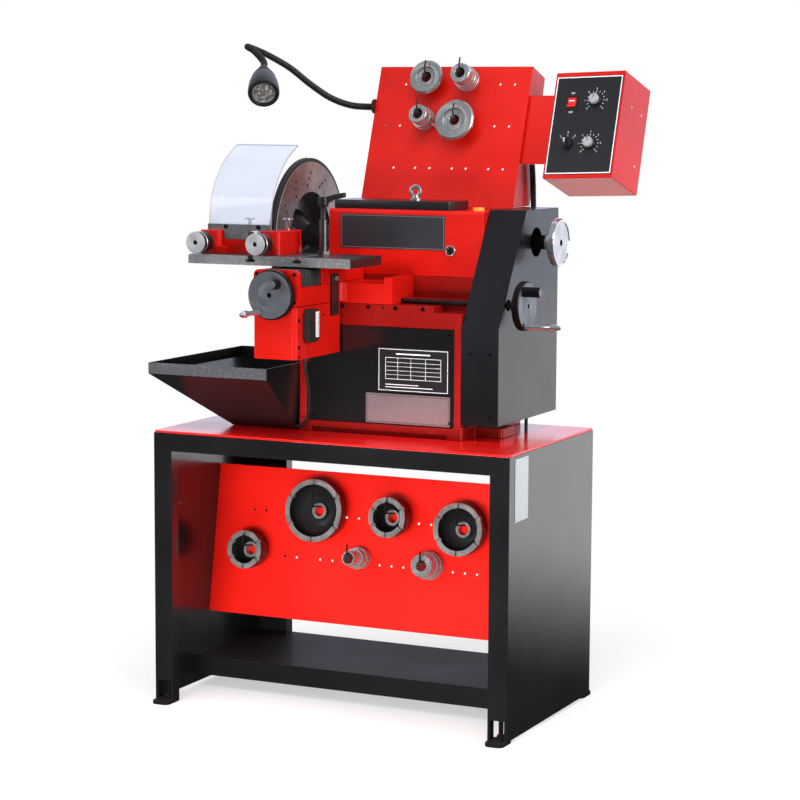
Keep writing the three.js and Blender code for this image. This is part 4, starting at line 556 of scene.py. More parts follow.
# Adapters on the bench board
# Black cast clamping cups with machined, notched rims and machined hub ends, and turned steel collars
# with stepped backs. All have the arbor's bore, and hang by it on the hooks.
def machined(name, color, roughness, lines, blotch=0.2, turned=True, metal=0.92):
    """Machined metal with faint blotches. On a turned piece the tool left fine rings that follow its
    profile, and highlights stretch across them."""
    made, tree = new_material(name)
    reach = new_node(tree, "Attribute", attribute_name="reach").outputs["Fac"]
    rings = new_node(tree, "TexNoise", {"W": reach, "Scale": lines, "Detail": 3}, noise_dimensions="1D")
    rings = rings.outputs["Fac"]
    sockets = {
        "Base Color": toned(tree, grains(tree, 55, 5), [c * (1 - blotch) for c in color], color, 0.3, 0.7),
        "Metallic": metal, "Roughness": ranged(tree, rings, 0, 1, max(0.04, roughness - 0.08), roughness + 0.1),
        "Normal": bumps(tree, rings, 0.25, 0.00006)}
    if turned:
        around = new_node(tree, "Attribute", attribute_name="around").outputs["Vector"]
        facing = new_node(tree, "VectorTransform", {0: around}, vector_type="VECTOR", convert_from="OBJECT",
                          convert_to="WORLD")
        sockets |= {"Tangent": facing.outputs[0], "Anisotropic": 0.75}
    shown(tree, "BsdfPrincipled", sockets)
    return made


def cast_skin(name, color, roughness, bare_and_glint, grain=330.0):
    """A cast surface under thin paint: a sandy skin of two sizes, and a paler colour on its highest grains:
    bare metal, and on the tool plate's edges and the lamp lens also painted highlights and glints.
    """
    made, tree = new_material(name)
    sand, lumps = grains(tree, grain, 6), grains(tree, grain / 5, 3)
    height = new_node(tree, "Math", {0: sand, 1: lumps}, operation="ADD").outputs[0]
    shown(tree, "BsdfPrincipled", {
        "Base Color": toned(tree, sand, color, bare_and_glint, 0.52, 0.72), "Roughness": roughness, "Coat Weight": 0.2,
        "Normal": bumps(tree, height, 0.5, 0.0006)})
    return made


def across(axis):
    """Two directions square to an axis and to each other."""
    side = np.cross(axis, (0, 0, 1) if abs(axis[2]) < 0.9 else (0, 1, 0))
    side /= np.linalg.norm(side)
    return side, np.cross(side, axis)


def lathe(name, profile, centre, axis, looks, body, ease=0.8, ring=False, bands=None, sides=96, dip=None,
          turns=None, replaced=()):
    """A turned piece. profile holds [radius, place along the axis] in millimetres, with its corners eased;
    each point is carried round the axis. bands numbers the finish of each stretch of the profile, turns
    holds the angles of its corners where they aren't even, and dip gives how far each point of the profile
    sinks along the axis at each angle."""
    outline = eased(profile, ease, ring)
    axis = np.asarray(axis, float) / np.linalg.norm(axis)
    side, up = across(axis)
    turn = full_turn(sides) if turns is None else turns
    around = round_about(turn, side, up)
    radius, along = outline[:, :1, None] / 1000, outline[:, 1:] / 1000
    if dip:
        along = along + dip(outline, turn) / 1000
    points = centre + radius * around + along[..., None] * axis
    faces = quads_of(len(outline), len(turn), ring)
    mesh = bpy.data.meshes.new(name)
    mesh.from_pydata(points.reshape(-1, 3).tolist(), [], faces.tolist())
    reach = np.repeat(reach_along(outline) / 1000, len(turn))
    mesh.attributes.new("reach", "FLOAT", "POINT").data.foreach_set("value", reach)
    ahead = np.tile(round_about(turn, up, -side), (len(outline), 1))
    mesh.attributes.new("around", "FLOAT_VECTOR", "POINT").data.foreach_set("vector", ahead.ravel())
    for finish in looks if isinstance(looks, list) else [looks]:
        mesh.materials.append(finish)
    if bands:
        stretch = np.asarray(bands)[np.arange(len(faces)) // len(turn) // (corner_steps + 1)]
        mesh.polygons.foreach_set("material_index", stretch.astype(np.int32))
    close_up(mesh, 1e-7, 50)
    return put_in(name, mesh, body, replaced)


black_cast = cast_skin("black_cast", (0.008, 0.008, 0.009), 0.38, (0.03, 0.03, 0.032))
grey_machined = machined("grey_machined", (0.44, 0.43, 0.42), 0.36, 2600, 0.4, metal=0.65)
bright_steel = machined("bright_steel", (0.66, 0.66, 0.67), 0.24, 2600, metal=0.8)


def notched(rim, land, width, depth, count, start):
    """The angles of a notched rim, two close together at each side of a notch, and how far it dips there."""
    half = width / 2 / rim
    middles = start + 2 * np.pi * np.arange(count) / count

    def from_notch(turn):
        return np.abs((turn[:, None] - middles + np.pi) % (2 * np.pi) - np.pi).min(axis=1)

    def dip(outline, turn):
        at_rim = (outline[:, 1] > outline[:, 1].max() - 2) & (outline[:, 0] > rim - land - 2)
        return np.where(at_rim[:, None] & (from_notch(turn) <= half + 1e-6), -depth, 0.0)

    edges = (middles[:, None] + np.array([-half - 0.004, -half, half, half + 0.004])).ravel()
    between = full_turn(96)
    turns = [edges % (2 * np.pi), between[from_notch(between) > half + 0.012], middles % (2 * np.pi)]
    return np.sort(np.concatenate(turns)), dip


def cup_on(name, board, at, rim, depth, node):
    """A clamping cup: round-backed outside and inside, with a broad machined rim and a recessed hub."""
    back, wall, land, band, hub, recess = 27.0, 8.0, 13.0, 14.0, 19.0, 33.0
    quarter = np.linspace(0, np.pi / 2, 9)
    outside = np.column_stack([back + (rim - back) * np.sin(quarter), (depth - band) * (1 - np.cos(quarter))])
    inside = np.column_stack([hub + (rim - land - hub) * np.sin(quarter),
                              wall + (depth - band - wall) * (1 - np.cos(quarter))])[::-1]
    profile = [(bore_radius, 0), *outside, (rim, depth), (rim - land, depth), *inside,
               (hub, depth - recess), (bore_radius, depth - recess)]
    turns, dip = notched(rim, land, width=7.0, depth=7.0, count=6, start=0.5)
    lathe(name, profile, on_board(board, (*at, off_board)), board[1][2], [black_cast, grey_machined], "bench",
          ring=True, bands=[0] * 10 + [1] + [0] * 10 + [1, 1], turns=turns, dip=dip,
          replaced=[node])


def collar_on(name, board, at, face, back, length, node, holes=0):
    """A collar: a broad back, two steps and a groove, then the barrel with a chamfered mouth."""
    step, groove = (face + 2 * back) / 3, back - 1.6
    profile = [(bore_radius, 0), (back, 0), (back, length * 0.13), (groove, length * 0.15),
               (groove, length * 0.17), (back, length * 0.19), (back, length * 0.3), (step, length * 0.3),
               (step, length * 0.42), (step - 1.4, length * 0.44), (step, length * 0.46), (step, length * 0.55),
               (face, length * 0.55), (face, length - 2), (face - 2, length), (bore_radius + 1, length),
               (bore_radius, length - 1)]
    made = lathe(name, profile, on_board(board, (*at, off_board)), board[1][2], bright_steel, None, ease=0.5,
                 ring=True)
    if holes:
        turn = 0.4 + full_turn(holes)
        centres = at + (face - 2) * np.column_stack([np.cos(turn), np.sin(turn)])
        cut_by(made, [pins_of(lambda rows: on_board(board, rows + (0, 0, length + off_board)), centres, 3.0, 5)])
    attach(made, "bench")
    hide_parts(node)


bench_cups = {
    "cup_large": ((292, 266), 75, 50, "bell_large", 42),
    "cup_left": ((118, 159), 46, 58, "bell_left", 26),
    "cup_middle": ((490, 265), 47.5, 58, "bell_middle", 28),
    "cup_right": ((670, 251), 62, 50, "bell_right", 40),
}
for name, (at, rim, depth, node, rise) in bench_cups.items():
    cup_on(name, bench_board, at, rim, depth, node)
    hook_on("hook_of_" + name, bench_board, *at, depth + 10, rise)
bench_collars = {
    "small_collar": ((405, 162), 17.5, 26, 72, "collar_left", 0),
    "wide_collar": ((590, 160), 27.5, 33, 62, "collar_right", 6),
}
for name, (at, face, back, length, node, holes) in bench_collars.items():
    collar_on(name, bench_board, at, face, back, length, node, holes)
    hook_on("hook_of_" + name, bench_board, *at, length + 10, 24)


# Cast base
# One red casting: a hollow box on a broad foot, with a ledge and its ways in front and a riser behind. Its
# edges are the round ones of a mould. Black socket screws hold a strip along the ledge.
forwards, rightwards, upwards = (0, -1, 0), (1, 0, 0), (0, 0, 1)


def along(axis):
    """Turns rows of (place along an axis, the other two in order) into the bench's own places."""
    order = {"x": [0, 1, 2], "y": [1, 0, 2], "z": [1, 2, 0]}[axis]
    return lambda rows: spot(np.asarray(rows, float)[:, order])


def rectangle(low, high):
    """The four corners between two opposite ones."""
    return [(low[0], low[1]), (high[0], low[1]), (high[0], high[1]), (low[0], high[1])]


def screws(name, places, axis, radii, body="bench"):
    """Black cap screws: each a round head with a broken edge, and a socket sunk into it."""
    for k, (place, radius) in enumerate(zip(places, radii)):
        height = radius * 0.7
        profile = [(0, height * 0.3), (radius * 0.5, height * 0.3), (radius * 0.5, height),
                   (radius * 0.88, height), (radius, height * 0.8), (radius, -0.4), (0, -0.4)]
        lathe(f"{name}_{k + 1}", profile, spot(place), axis, blackened, body, ease=0.15, sides=20)


cast_red = sprayed("cast_red", (0.62, 0.0078, 0.0036), 0.22, 0.5)
# The base's red is the castings' red at under half its strength: painted shade, for the shadow that the saddle and
# the tool plate cast on the base.
shaded_base_red = sprayed("shaded_base_red", (0.28, 0.005, 0.003), 0.22, 0.5)
edged("cast_base", "base_casting", shaded_base_red, "bench", 0.0016, 3)
blackened = machined("blackened", (0.035, 0.035, 0.037), 0.36, 5000, 0.4)
screws("ledge_screw", [(x, 160, 935.4) for x in (413, 478.3, 515.2, 547.4, 616)], forwards,
       [4.6, 4.6, 2.4, 4.6, 4.6])


# Base cover
# A black sheet plate set into the front window, with a small screw near each corner. Two thin plates are
# riveted to it: a dark one with a ruled grid, and a pale one with a line round its edge.
def raised(name, place, quads, reach, material, body, slot):
    """Flat marks, each a thin block over four corners, all in one mesh. place takes rows of (reach, quad
    first, quad second) in millimetres."""
    points, faces = prisms(quads, *reach)
    piece(name, place(points[:, [2, 0, 1]]), faces, material, body, slot)


def frame_of(low, high, width):
    """Four strips along the inside of a rectangle."""
    (a, b), (c, d) = low, high
    return [rectangle((a, b), (c, b + width)), rectangle((a, d - width), (c, d)),
            rectangle((a, b + width), (a + width, d - width)), rectangle((c - width, b + width), (c, d - width))]


def rivets(name, places, axis, crown):
    """Small round rivet heads, crown millimetres high."""
    for k, place in enumerate(places):
        lathe(f"{name}_{k + 1}", [(0, crown), (1.2, 0.8), (1.8, 0), (1.8, -0.5), (0, -0.5)], spot(place), axis,
              bright_steel, "bench", ease=0.2, sides=16)


plate_black = rubbery("plate_black", (0.011, 0.011, 0.013), 0.32, 900)
plate_pale = machined("plate_pale", (0.78, 0.79, 0.8), 0.5, 2600, 0.08, False)
print_white = rubbery("print_white", (0.75, 0.76, 0.78), 0.5, 700)
edged("window_cover", "base_cover", gloss_black, "bench", 0.0008)
bar_of("ruled_plate", along("y"), rectangle((501.5, 743), (680.5, 844)), (162.1, 162.9), plate_black, "bench",
       ease=2, slot="black_paint")
grid = frame_of((504, 745.5), (678, 841.5), 1.2) + frame_of((521, 772), (661, 822), 0.9)
grid += [rectangle((521.9, z), (660.1, z + 0.7)) for z in (782, 791.5, 801, 810.5)]
grid += [rectangle((x, 772.9), (x + 0.7, 821.1)) for x in (552, 585, 622)]
grid += [rectangle((548, 829), (634, 832)), rectangle((521, 759), (604, 760.6)), rectangle((521, 753), (640, 754.6))]
raised("ruled_grid", along("y"), grid, (161.9, 162.4), print_white, "bench", "black_paint")
bar_of("pale_plate", along("y"), rectangle((471.5, 669), (683.5, 737.5)), (162.1, 162.9), plate_pale, "bench",
       ease=2, slot="aluminium")
raised("pale_plate_edge", along("y"), frame_of((474.5, 672), (680.5, 734.5), 0.8), (161.95, 162.4), plate_black,
       "bench", "black_paint")
rivets("plate_rivet", [(475.5, 162, 703), (679.5, 162, 703), (505.5, 162, 793), (676.5, 162, 793)], forwards, 1.1)
screws("cover_screw", [(x, 163, z) for z in (880, 678) for x in (338, 683)], forwards, [3.6] * 4)


# Headstock
# A red casting bored for the spindle, with a round boss at its left end. A thin dark plastic panel is
# glued to its front, with a chrome ringed sight glass beside it and an orange oil plug on top.
edged("head_casting", "headstock", cast_red, "bench", 0.0018, 3)
panel_grey = rubbery("panel_grey", (0.026, 0.027, 0.032), 0.3, 800)
bar_of("front_panel", along("y"), rectangle((345, 1062), (614, 1142)), (281.2, 282.1), panel_grey, "bench", ease=1.5,
       slot="black_paint")
raised("front_panel_edge", along("y"), frame_of((347.5, 1064.5), (611.5, 1139.5), 1.0), (281.05, 281.5), plate_pale,
       "bench", "aluminium")
chrome = machined("chrome", (0.82, 0.82, 0.84), 0.07, 1500, 0.05)
chrome_ring = [(8.6, 2.4), (9.2, 4.8), (11.4, 5.6), (13.1, 4.4), (13.1, -0.5), (8.6, -0.5)]
sight_place = spot((628.6, 282, 1062))
lathe("sight_ring", chrome_ring, sight_place, forwards, chrome, "bench", ring=True)
sight_glass = rubbery("sight_glass", (0.012, 0.008, 0.006), 0.06, 90)
lathe("sight_glass", [(0, 4.4), (5, 4.1), (8.8, 3.5), (8.8, 2), (0, 2)], sight_place, forwards, sight_glass,
      "bench")
orange = rubbery("orange", (0.86, 0.26, 0.02), 0.35, 300)
lathe("oil_plug", [(0, 7.6), (9, 7.6), (10.5, 8.6), (13.2, 8.2), (13.6, 6), (13.6, -1), (0, -1)],
      spot((688.5, 306, 1154)), upwards, orange, "bench")


# Headstock cap and lifting eye
# A thick black plate lies on the headstock, sprayed and scraped at its edges. A bright forged ring with
# a round collar is screwed into it, to lift the machine by.
satin_black = cast_skin("satin_black", (0.009, 0.009, 0.01), 0.33, (0.028, 0.028, 0.03), 520)
bar_of("cap_plate", along("z"), rectangle((322, 290), (622, 404)), (1154.3, 1174.3), satin_black, "bench",
       ease=9, end_ease=1.2, slot="black_paint", replaced=["headstock_cap"])
eye_x, eye_y, eye_radius, wire_radius = 516.5, 330, 11.5, 5
eye_foot = [(0, 12), (8, 12), (8.5, 6.5), (13, 5), (14, 4), (14, -1), (0, -1)]
forged = machined("forged", (0.7, 0.69, 0.67), 0.24, 1200, 0.25)
lathe("eye_collar", eye_foot, spot((eye_x, eye_y, 1174.3)), upwards, forged, "bench",
      replaced=["headstock_cap"])
turn = full_turn(20)
eye_wire = np.column_stack([eye_radius + wire_radius * np.cos(turn), wire_radius * np.sin(turn)])
lathe("eye_ring", eye_wire, spot((eye_x, eye_y, 1195.7)), (0, 1, 0), forged, "bench", ease=0.1, ring=True,
      sides=64, replaced=["headstock_cap"])


# Spindle
# A bored steel cartridge with a screwed flange holds the spindle in two bearings. The spindle has a
# broad nose, and a belt pulley at its other end. All of it is turned.
spindle_y, spindle_z = 378, 1083
axis_place = spot((0, spindle_y, spindle_z))
rough_steel = machined("rough_steel", (0.33, 0.33, 0.34), 0.38, 5200, 0.3)
cartridge = [(27.3, 298.7), (56.5, 298.7), (58, 300.2), (58, 306.7), (45.7, 306.7), (45.7, 711), (27.3, 711),
             (27.3, 681), (34.3, 681), (34.3, 328.7), (27.3, 328.7)]
lathe("cartridge", cartridge, axis_place, rightwards, rough_steel, "bench", ring=True,
      replaced=["spindle_bearings"])
bolt_circle = 50.5
screws("flange_screw", [(298.7, spindle_y + bolt_circle * np.cos(angle), spindle_z + bolt_circle * np.sin(angle))
                        for angle in full_turn(6) + 0.3], (-1, 0, 0), [4.2] * 6)
nose = [(13, 278.4), (38.5, 278.4), (40, 279.9), (40, 298.4), (27, 298.4), (27, 735), (72, 735), (72, 743), (58, 743),
        (58, 757), (72, 757), (72, 765), (27, 765), (27, 776), (8.4, 776), (8.4, 338.4), (13, 338.4)]
lathe("turned_spindle", nose, axis_place, rightwards, rough_steel, "spindle_group", ring=True,
      replaced=["spindle"])


# Arbor and its bells
# A ground bar with a threaded end runs through the brake disc. A black cast bell on either side, with a
# machined rim, clamps the disc, and a spacer and a hexagon nut press them together.
arbor_line = [(0, 58), (9.5, 58), (11, 60), (12.7, 63.5), (12.7, 175.3), (53, 175.3), (53, 166.3), (62, 166.3),
              (62, 175.3), (50, 190), (26, 212.3), (26, 278.1), (12.7, 278.1), (12.7, 338.1), (0, 338.1)]
lathe("arbor_and_bell", arbor_line, axis_place, rightwards, [black_cast, bright_steel], "spindle_group",
      bands=[1, 1, 1, 1, 0, 0, 1, 1, 0, 0, 0, 1, 1, 1, 1], replaced=["arbor"])
outer_line = [(13, 81.7), (20.5, 81.7), (22, 83.2), (22, 111.7), (26, 111.7), (48, 128), (62, 148.7), (62, 157.7),
              (53, 157.7), (53, 148.7), (13, 148.7)]
lathe("clamping_bell", outer_line, axis_place, rightwards, [black_cast, grey_machined], "spindle_group", ring=True,
      bands=[1, 1, 1, 0, 0, 0, 1, 1, 0, 0, 0], replaced=["outer_bell"])
sixths, nut_radius = full_turn(6) + 0.25, 23
hexagon = np.column_stack([spindle_y + nut_radius * np.cos(sixths), spindle_z + nut_radius * np.sin(sixths)])
milled_steel = machined("milled_steel", (0.6, 0.6, 0.61), 0.26, 3000, 0.2, False)
bar_of("arbor_nut", along("x"), hexagon, (61.7, 81.7), milled_steel, "spindle_group", ease=1.5, end_ease=1.2,
       slot="machined_steel", replaced=["outer_bell"])


# Brake disc
# A worn cast iron disc with a deep hat, five bolt holes, and rows of holes drilled on leaning lines. Its
# rubbing faces are ground in rings and have taken a brown tint.
def about_spindle(x):
    """Turns rows of (across, up, along) from the spindle's axis at x into places."""
    return lambda rows: spot(rows[:, [2, 0, 1]] + (x, spindle_y, spindle_z))


ground_iron = machined("ground_iron", (0.38, 0.33, 0.305), 0.42, 1500, 0.3)
disc_line = [(32, 158), (107, 158), (110, 161), (110, 203), (175.5, 203), (177, 204.5), (177, 214.5), (175.5, 216),
             (104, 216), (104, 166), (32, 166)]
disc = lathe("brake_disc", disc_line, axis_place, rightwards, [ground_iron, rough_steel], None, ring=True, sides=144,
             bands=[0, 1, 1, 0, 0, 0, 0, 0, 1, 1, 1])
drill_turn = (full_turn(12)[:, None] + 0.075 * np.arange(3)).ravel()
drill_radius = np.tile([150, 137, 122], 12)
drills = np.column_stack([drill_radius * np.cos(drill_turn), drill_radius * np.sin(drill_turn)])
bolt_turn, bolt_radius = full_turn(5), 84
bolts = bolt_radius * np.column_stack([np.cos(bolt_turn), np.sin(bolt_turn)])
cut_by(disc, [pins_of(about_spindle(209.5), drills, 3.2, 12), pins_of(about_spindle(162), bolts, 6.5, 10)])
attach(disc, "spindle_group")
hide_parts("rotor")


# Silencer band
# A stretched black rubber band with a lip lies round the disc to keep it from ringing. A pale plastic
# stud fastens its ends.
band_rubber = rubbery("band_rubber", (0.014, 0.014, 0.014), 0.62, 240)
band_line = [(177.3, 201), (184.6, 201), (185.3, 202), (185.3, 213), (184.6, 214), (177.3, 214)]
lathe("rubber_band", band_line, axis_place, rightwards, band_rubber, "spindle_group", ease=0.5, ring=True, sides=144,
      replaced=["silencer_band"])
lathe("band_stud", [(0, 4), (3.4, 4), (5, 2.6), (5, -1.5), (0, -1.5)], spot((207.5, spindle_y, 1268.3)), upwards,
      print_white, "spindle_group", replaced=["silencer_band"])


# Draw wheel
# A zinc plated handwheel with a bright rim and a dished pale face, on a black shaft with a chrome
# ring. It pulls the arbor into the spindle. A socket is sunk into its middle.
zinc_face = machined("zinc_face", (0.68, 0.7, 0.73), 0.42, 2600, 0.1, metal=0.6)
draw_line = [(0, 338.4), (8, 338.4), (8, 776.3), (16.5, 776.3), (16.5, 828), (18.4, 829), (18.4, 836), (16.5, 837),
             (16.5, 854), (43, 854), (44, 850.5), (46.5, 849), (53, 849), (56, 852), (56, 863), (53.5, 866),
             (50, 866), (47.5, 863), (20, 864.5), (8.5, 864.8), (7, 864), (7, 858), (0, 858)]
lathe("zinc_wheel", draw_line, axis_place, rightwards, [chrome, zinc_face, blackened], "draw_wheel_group", ease=0.6,
      bands=[2, 2, 2, 2, 2, 0, 0, 2, 2, 1, 1, 0, 0, 0, 0, 0, 0, 1, 1, 1, 2, 2, 2],
      replaced=["draw_wheel"])


# Motor and belt
# A grey motor on a foot stands inside the base, with a turned pulley, and a black rubber belt runs up
# to the spindle. All of it hides behind the drive cover.
motor_grey = sprayed("motor_grey", (0.2, 0.21, 0.23), 0.45, 0.4)
edged("motor_body", "motor", motor_grey, "bench", 0.0015)
edged("turned_pulley", "motor_pulley", milled_steel, "motor_pulley_group", 0.0006)
edged("rubber_belt", "drive_belt", band_rubber, "bench", 0.0008)


# Drive cover
# A box of folded black sheet over the belt, with a sloping front and two round holes in its side.
# Button screws hold its front, and a folded seam runs down beside them.
cover_black = sprayed("cover_black", (0.006, 0.006, 0.0075), 0.26, 0.4, 0.4)
edged("drive_box", "drive_cover", cover_black, "bench", 0.0012, 3)
screws("box_screw", [(x, 160, z) for z in (840, 700) for x in (735, 783)], forwards, [3.6] * 4)


# Chip tray
# A hopper of folded black sheet stands on the bench top beside the base, with an upright lip. Chips
# have rubbed the front of its lip.
tray_black = sprayed("tray_black", (0.009, 0.009, 0.0095), 0.24, 0.4, 0.5)
rubbed_black = cast_skin("rubbed_black", (0.07, 0.072, 0.08), 0.42, (0.16, 0.165, 0.18), 230)
hopper = edged("hopper", "chip_tray", tray_black, "bench", 0.0007)
lip_foot, lip_back = 770, 1
refinish(hopper, rubbed_black,
         lambda at, way: (way[:, 1] < -0.9) & (at[:, 2] > lip_foot) & (at[:, 1] < lip_back))


# Upper tool board
# A folded red sheet box leans back behind the headstock, closed at both sides and on top, with an arm
# for the control box welded to its right side. It has the same pairs of holes and wire hooks.
upper_board = leaning(454, 1158, np.radians(19.2))
on_upper = partial(on_board, upper_board)
upper_red = sprayed("upper_red", (0.62, 0.0072, 0.0028), 0.3, 0.35)
upper_side = [(0.5, -0.6), (349.4, -0.6), (349.4, -82), (34.1, -98)]
upper_parts = {
    "upper_sheet": ([(-4.2, 0), (350, 0), (350, -82), (347, -82), (347, -3), (-4.2, -3)], (311.5, 711)),
    "upper_left_side": (upper_side, (311.3, 314.5)),
    "upper_right_side": (upper_side, (708, 711.2)),
    "box_arm": (rectangle((111, -13), (281, -10)), (708, 787)),
}
upper_holes = [(x, s) for s in (200, 93.5) for x in (348, 384.5, 442, 480, 539, 575, 633.5, 671)]
upper_holes.remove((348, 93.5))
upper_holes += [(x, 305) for x in (348, 384.5, 633.5, 671)]
for name, (outline, reach) in upper_parts.items():
    made = bar_of(name, on_upper, outline, reach, upper_red, None, ease=1.2, slot="red_paint")
    if name == "upper_sheet":
        cut_by(made, [pins_of(on_upper, upper_holes, hook_hole, 8)])
    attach(made, "bench")
    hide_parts("tool_board")


# Adapters on the upper board
# Two steel cones and two stepped collars hang on the upper board's hooks. They are turned bright, and
# their faces have the fine rings of the tool.
def cone_on(name, board, at, rim, length, node):
    """A centring cone: a straight back, a flared side, a rim, and a dished face with a raised hub."""
    hub = rim * 0.5
    profile = [(bore_radius, 0), (22, 0), (22, length * 0.5), (rim, length * 0.72), (rim, length - 4),
               (rim - 4, length), (hub + 4, length - 1), (hub, length - 5), (hub - 5, length - 4.6),
               (bore_radius + 1, length - 4.6), (bore_radius, length - 5.6)]
    lathe(name, profile, on_board(board, (*at, off_board)), board[1][2], turned_face, "bench", ring=True,
          ease=0.6, replaced=[node])


turned_face = machined("turned_face", (0.6, 0.61, 0.6), 0.26, 1300, 0.15, metal=0.85)
upper_cones = {
    "cone_upper": ((450, 313), 42.5, 35, "cone_high"),
    "cone_lower": ((541, 205), 50, 35, "cone_low"),
}
for name, (at, rim, length, node) in upper_cones.items():
    cone_on(name, upper_board, at, rim, length, node)
    hook_on("hook_of_" + name, upper_board, *at, length + 10, 26)
upper_collars = {
    "collar_upper": ((550, 314), 25, 29, 58, "collar_high"),
    "collar_lower": ((452, 213), 23, 27, 52, "collar_low"),
}
for name, (at, face, back, length, node) in upper_collars.items():
    collar_on(name, upper_board, at, face, back, length, node)
    hook_on("hook_of_" + name, upper_board, *at, length + 10, 24)


# Control box
# A folded red sheet box on the board's arm, turned a little towards the operator. A thin black panel
# covers its front, printed with a pale border, a numbered dial round each knob and figures at the switches.
box_turn = np.radians(6)
box_ways = np.array([(-np.sin(box_turn), 0, np.cos(box_turn)), (np.cos(box_turn), 0, np.sin(box_turn)), (0, 1, 0)])
box_front = box_ways[0] @ upper_board[1]
box_corner = (784.3, 65, 22)


def on_box(rows):
    """Rows of (out of the box's front, along it, up it) in millimetres, as places in metres."""
    return on_upper(np.asarray(rows, float) @ box_ways + box_corner)


def dial(middle, low, high, count, sweep):
    """Marks round a knob: count thin quads from radius low to high, over a sweep of degrees about its top."""
    angle, half_width = np.radians(np.linspace(-sweep / 2, sweep / 2, count)), 0.45
    out = np.column_stack([np.sin(angle), np.cos(angle)])
    side = np.column_stack([out[:, 1], -out[:, 0]]) * half_width
    corners = [low * out - side, low * out + side, high * out + side, high * out - side]
    return [*(np.stack(corners, axis=1) + middle)]


def lettering(name, words, place, reach, material, body, slot):
    """Figures and words on a plane, each (text, place of its middle, height), as one thin solid."""
    points, faces, known = [], [], 0
    for text, (u, v), height in words:
        curve = bpy.data.curves.new(name, "FONT")
        curve.body, curve.size, curve.extrude = text, height * 1.4, 0.15
        curve.align_x, curve.align_y = "CENTER", "CENTER"
        curve.resolution_u = 3
        made = placed(name, curve)
        mesh = bpy.data.meshes.new_from_object(made.evaluated_get(bpy.context.evaluated_depsgraph_get()))
        flat = np.empty(len(mesh.vertices) * 3)
        mesh.vertices.foreach_get("co", flat)
        flat = flat.reshape(-1, 3)
        points.append(np.column_stack([flat[:, 2] + reach, flat[:, 0] + u, flat[:, 1] + v]))
        faces += [[known + corner for corner in polygon.vertices] for polygon in mesh.polygons]
        known += len(flat)
        bpy.data.objects.remove(made)
        bpy.data.curves.remove(curve)
        bpy.data.meshes.remove(mesh)
    piece(name, place(np.vstack(points)), faces, material, body, slot)


case = bar_of("control_case", on_box, rectangle((0, 0), (180, 260)), (-140, 0), cast_red, None, ease=3.5,
              end_ease=1.0, slot="red_paint")
case_front = bar_of("control_panel", on_box, rectangle((3.8, 9.5), (175.6, 249.5)), (0.05, 0.8), plate_black, None,
                    ease=1.0, slot="black_paint")
for made in (case, case_front):
    cut_by(made, [bar_of("pocket", on_box, rectangle((39.4, 171.4), (62.6, 198.6)), (-14, 5), brightened_gloss_red, None)])
    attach(made, "bench")
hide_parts("control_box")
speed_place, rate_place, selector_place, figure_radius = (112, 189), (111, 84), (52, 84), 28.5
marks = frame_of((5.2, 11), (174.2, 248.1), 2.4)
marks += dial(speed_place, 19.5, 23.5, 13, 270) + dial(rate_place, 19.5, 23.5, 13, 270)
marks += dial(selector_place, 18.5, 22.5, 3, 90)
raised("panel_marks", on_box, marks, (0.7, 1.0), print_white, "bench", "black_paint")
figures = [(str(k), (u + figure_radius * np.sin(angle), v + figure_radius * np.cos(angle)), 4.2)
           for u, v in (speed_place, rate_place) for k, angle in enumerate(np.radians(np.linspace(-135, 135, 7)))]
figures += [("ON", (51, 208), 4.6), ("OFF", (51, 161), 4.6), ("1", (33, 103), 4.6), ("0", (52, 112), 4.6),
            ("2", (71, 103), 4.6)]
lettering("panel_figures", figures, on_box, 0.85, print_white, "bench", "black_paint")
for k, (out, u, v, way) in enumerate([(-52, 180, 188, (0, 1, 0)), (-106, 180, 186, (0, 1, 0)),
                                      (-106, 180, 60, (0, 1, 0)), (-22, 22, 0, (0, 0, -1)),
                                      (-28, 152, 0, (0, 0, -1))]):
    lathe(f"case_screw_{k + 1}", [(0, 1.4), (2.4, 1.1), (3.4, 0), (3.4, -0.5), (0, -0.5)],
          on_box((out, u, v)), np.array(way) @ box_ways @ upper_board[1], bright_steel, "bench", ease=0.3,
          sides=20)


# Switch, knobs and selector
# A red rocker in a black bezel, with a painted highlight as a white strip across it, two knobs with bright
# caps and black skirts, each with a pointer, and a selector with a raised black grip and a white bar along it.
red_plastic = rubbery("red_plastic", (0.62, 0.012, 0.012), 0.22, 400)
knob_black = rubbery("knob_black", (0.012, 0.012, 0.012), 0.36, 500)
rocker_place, rocker_slope = (0, 51, 185), 0.182
bar_of("rocker", lambda rows: on_box(rows[:, [2, 0, 1]] + rocker_place),
       [(-11.5, -8), (11.5, -8), (11.5, 3), (0, 1), (-11.5, 6)], (-10.7, 10.7), red_plastic, "rocker_group", ease=1.2,
       end_ease=0.5, slot="red_plastic", replaced=["rocker_switch"])
raised("rocker_bezel", on_box, frame_of((36.8, 168.8), (65.2, 201.2), 2.5), (0.6, 2.2), knob_black, "bench",
       "black_plastic")
# A white strip on the rocker's face: a painted highlight.
raised("rocker_highlight", lambda rows: on_box(rows + rows[:, 2:] * (rocker_slope, 0, 0) + rocker_place),
       [rectangle((-7, 3), (7, 5.5))], (0.8, 1.25), print_white, "rocker_group", "red_plastic")
knob_line = [(0, -10), (3, -10), (3, 1.2), (16, 1.2), (16, 3.6), (13.6, 4.6), (12.6, 10), (11.4, 16.2), (9.8, 17),
             (0, 16.6)]
for name, node, (u, v) in (("speed_turner", "speed_knob", speed_place), ("rate_turner", "rate_knob", rate_place)):
    body = node + "_group"
    lathe(name, knob_line, on_box((0, u, v)), box_front, [knob_black, zinc_face], body, ease=0.5, sides=48,
          bands=[0] * 6 + [1] * 4, replaced=[node])
    raised(name + "_pointer", on_box, [rectangle((u - 0.9, v + 2), (u + 0.9, v + 10))], (16.4, 17.0), knob_black,
           body, "black_plastic")
    raised(name + "_skirt_mark", on_box, [rectangle((u - 0.8, v + 13.2), (u + 0.8, v + 16.1))], (3.0, 5.2),
           print_white, body, "black_plastic")
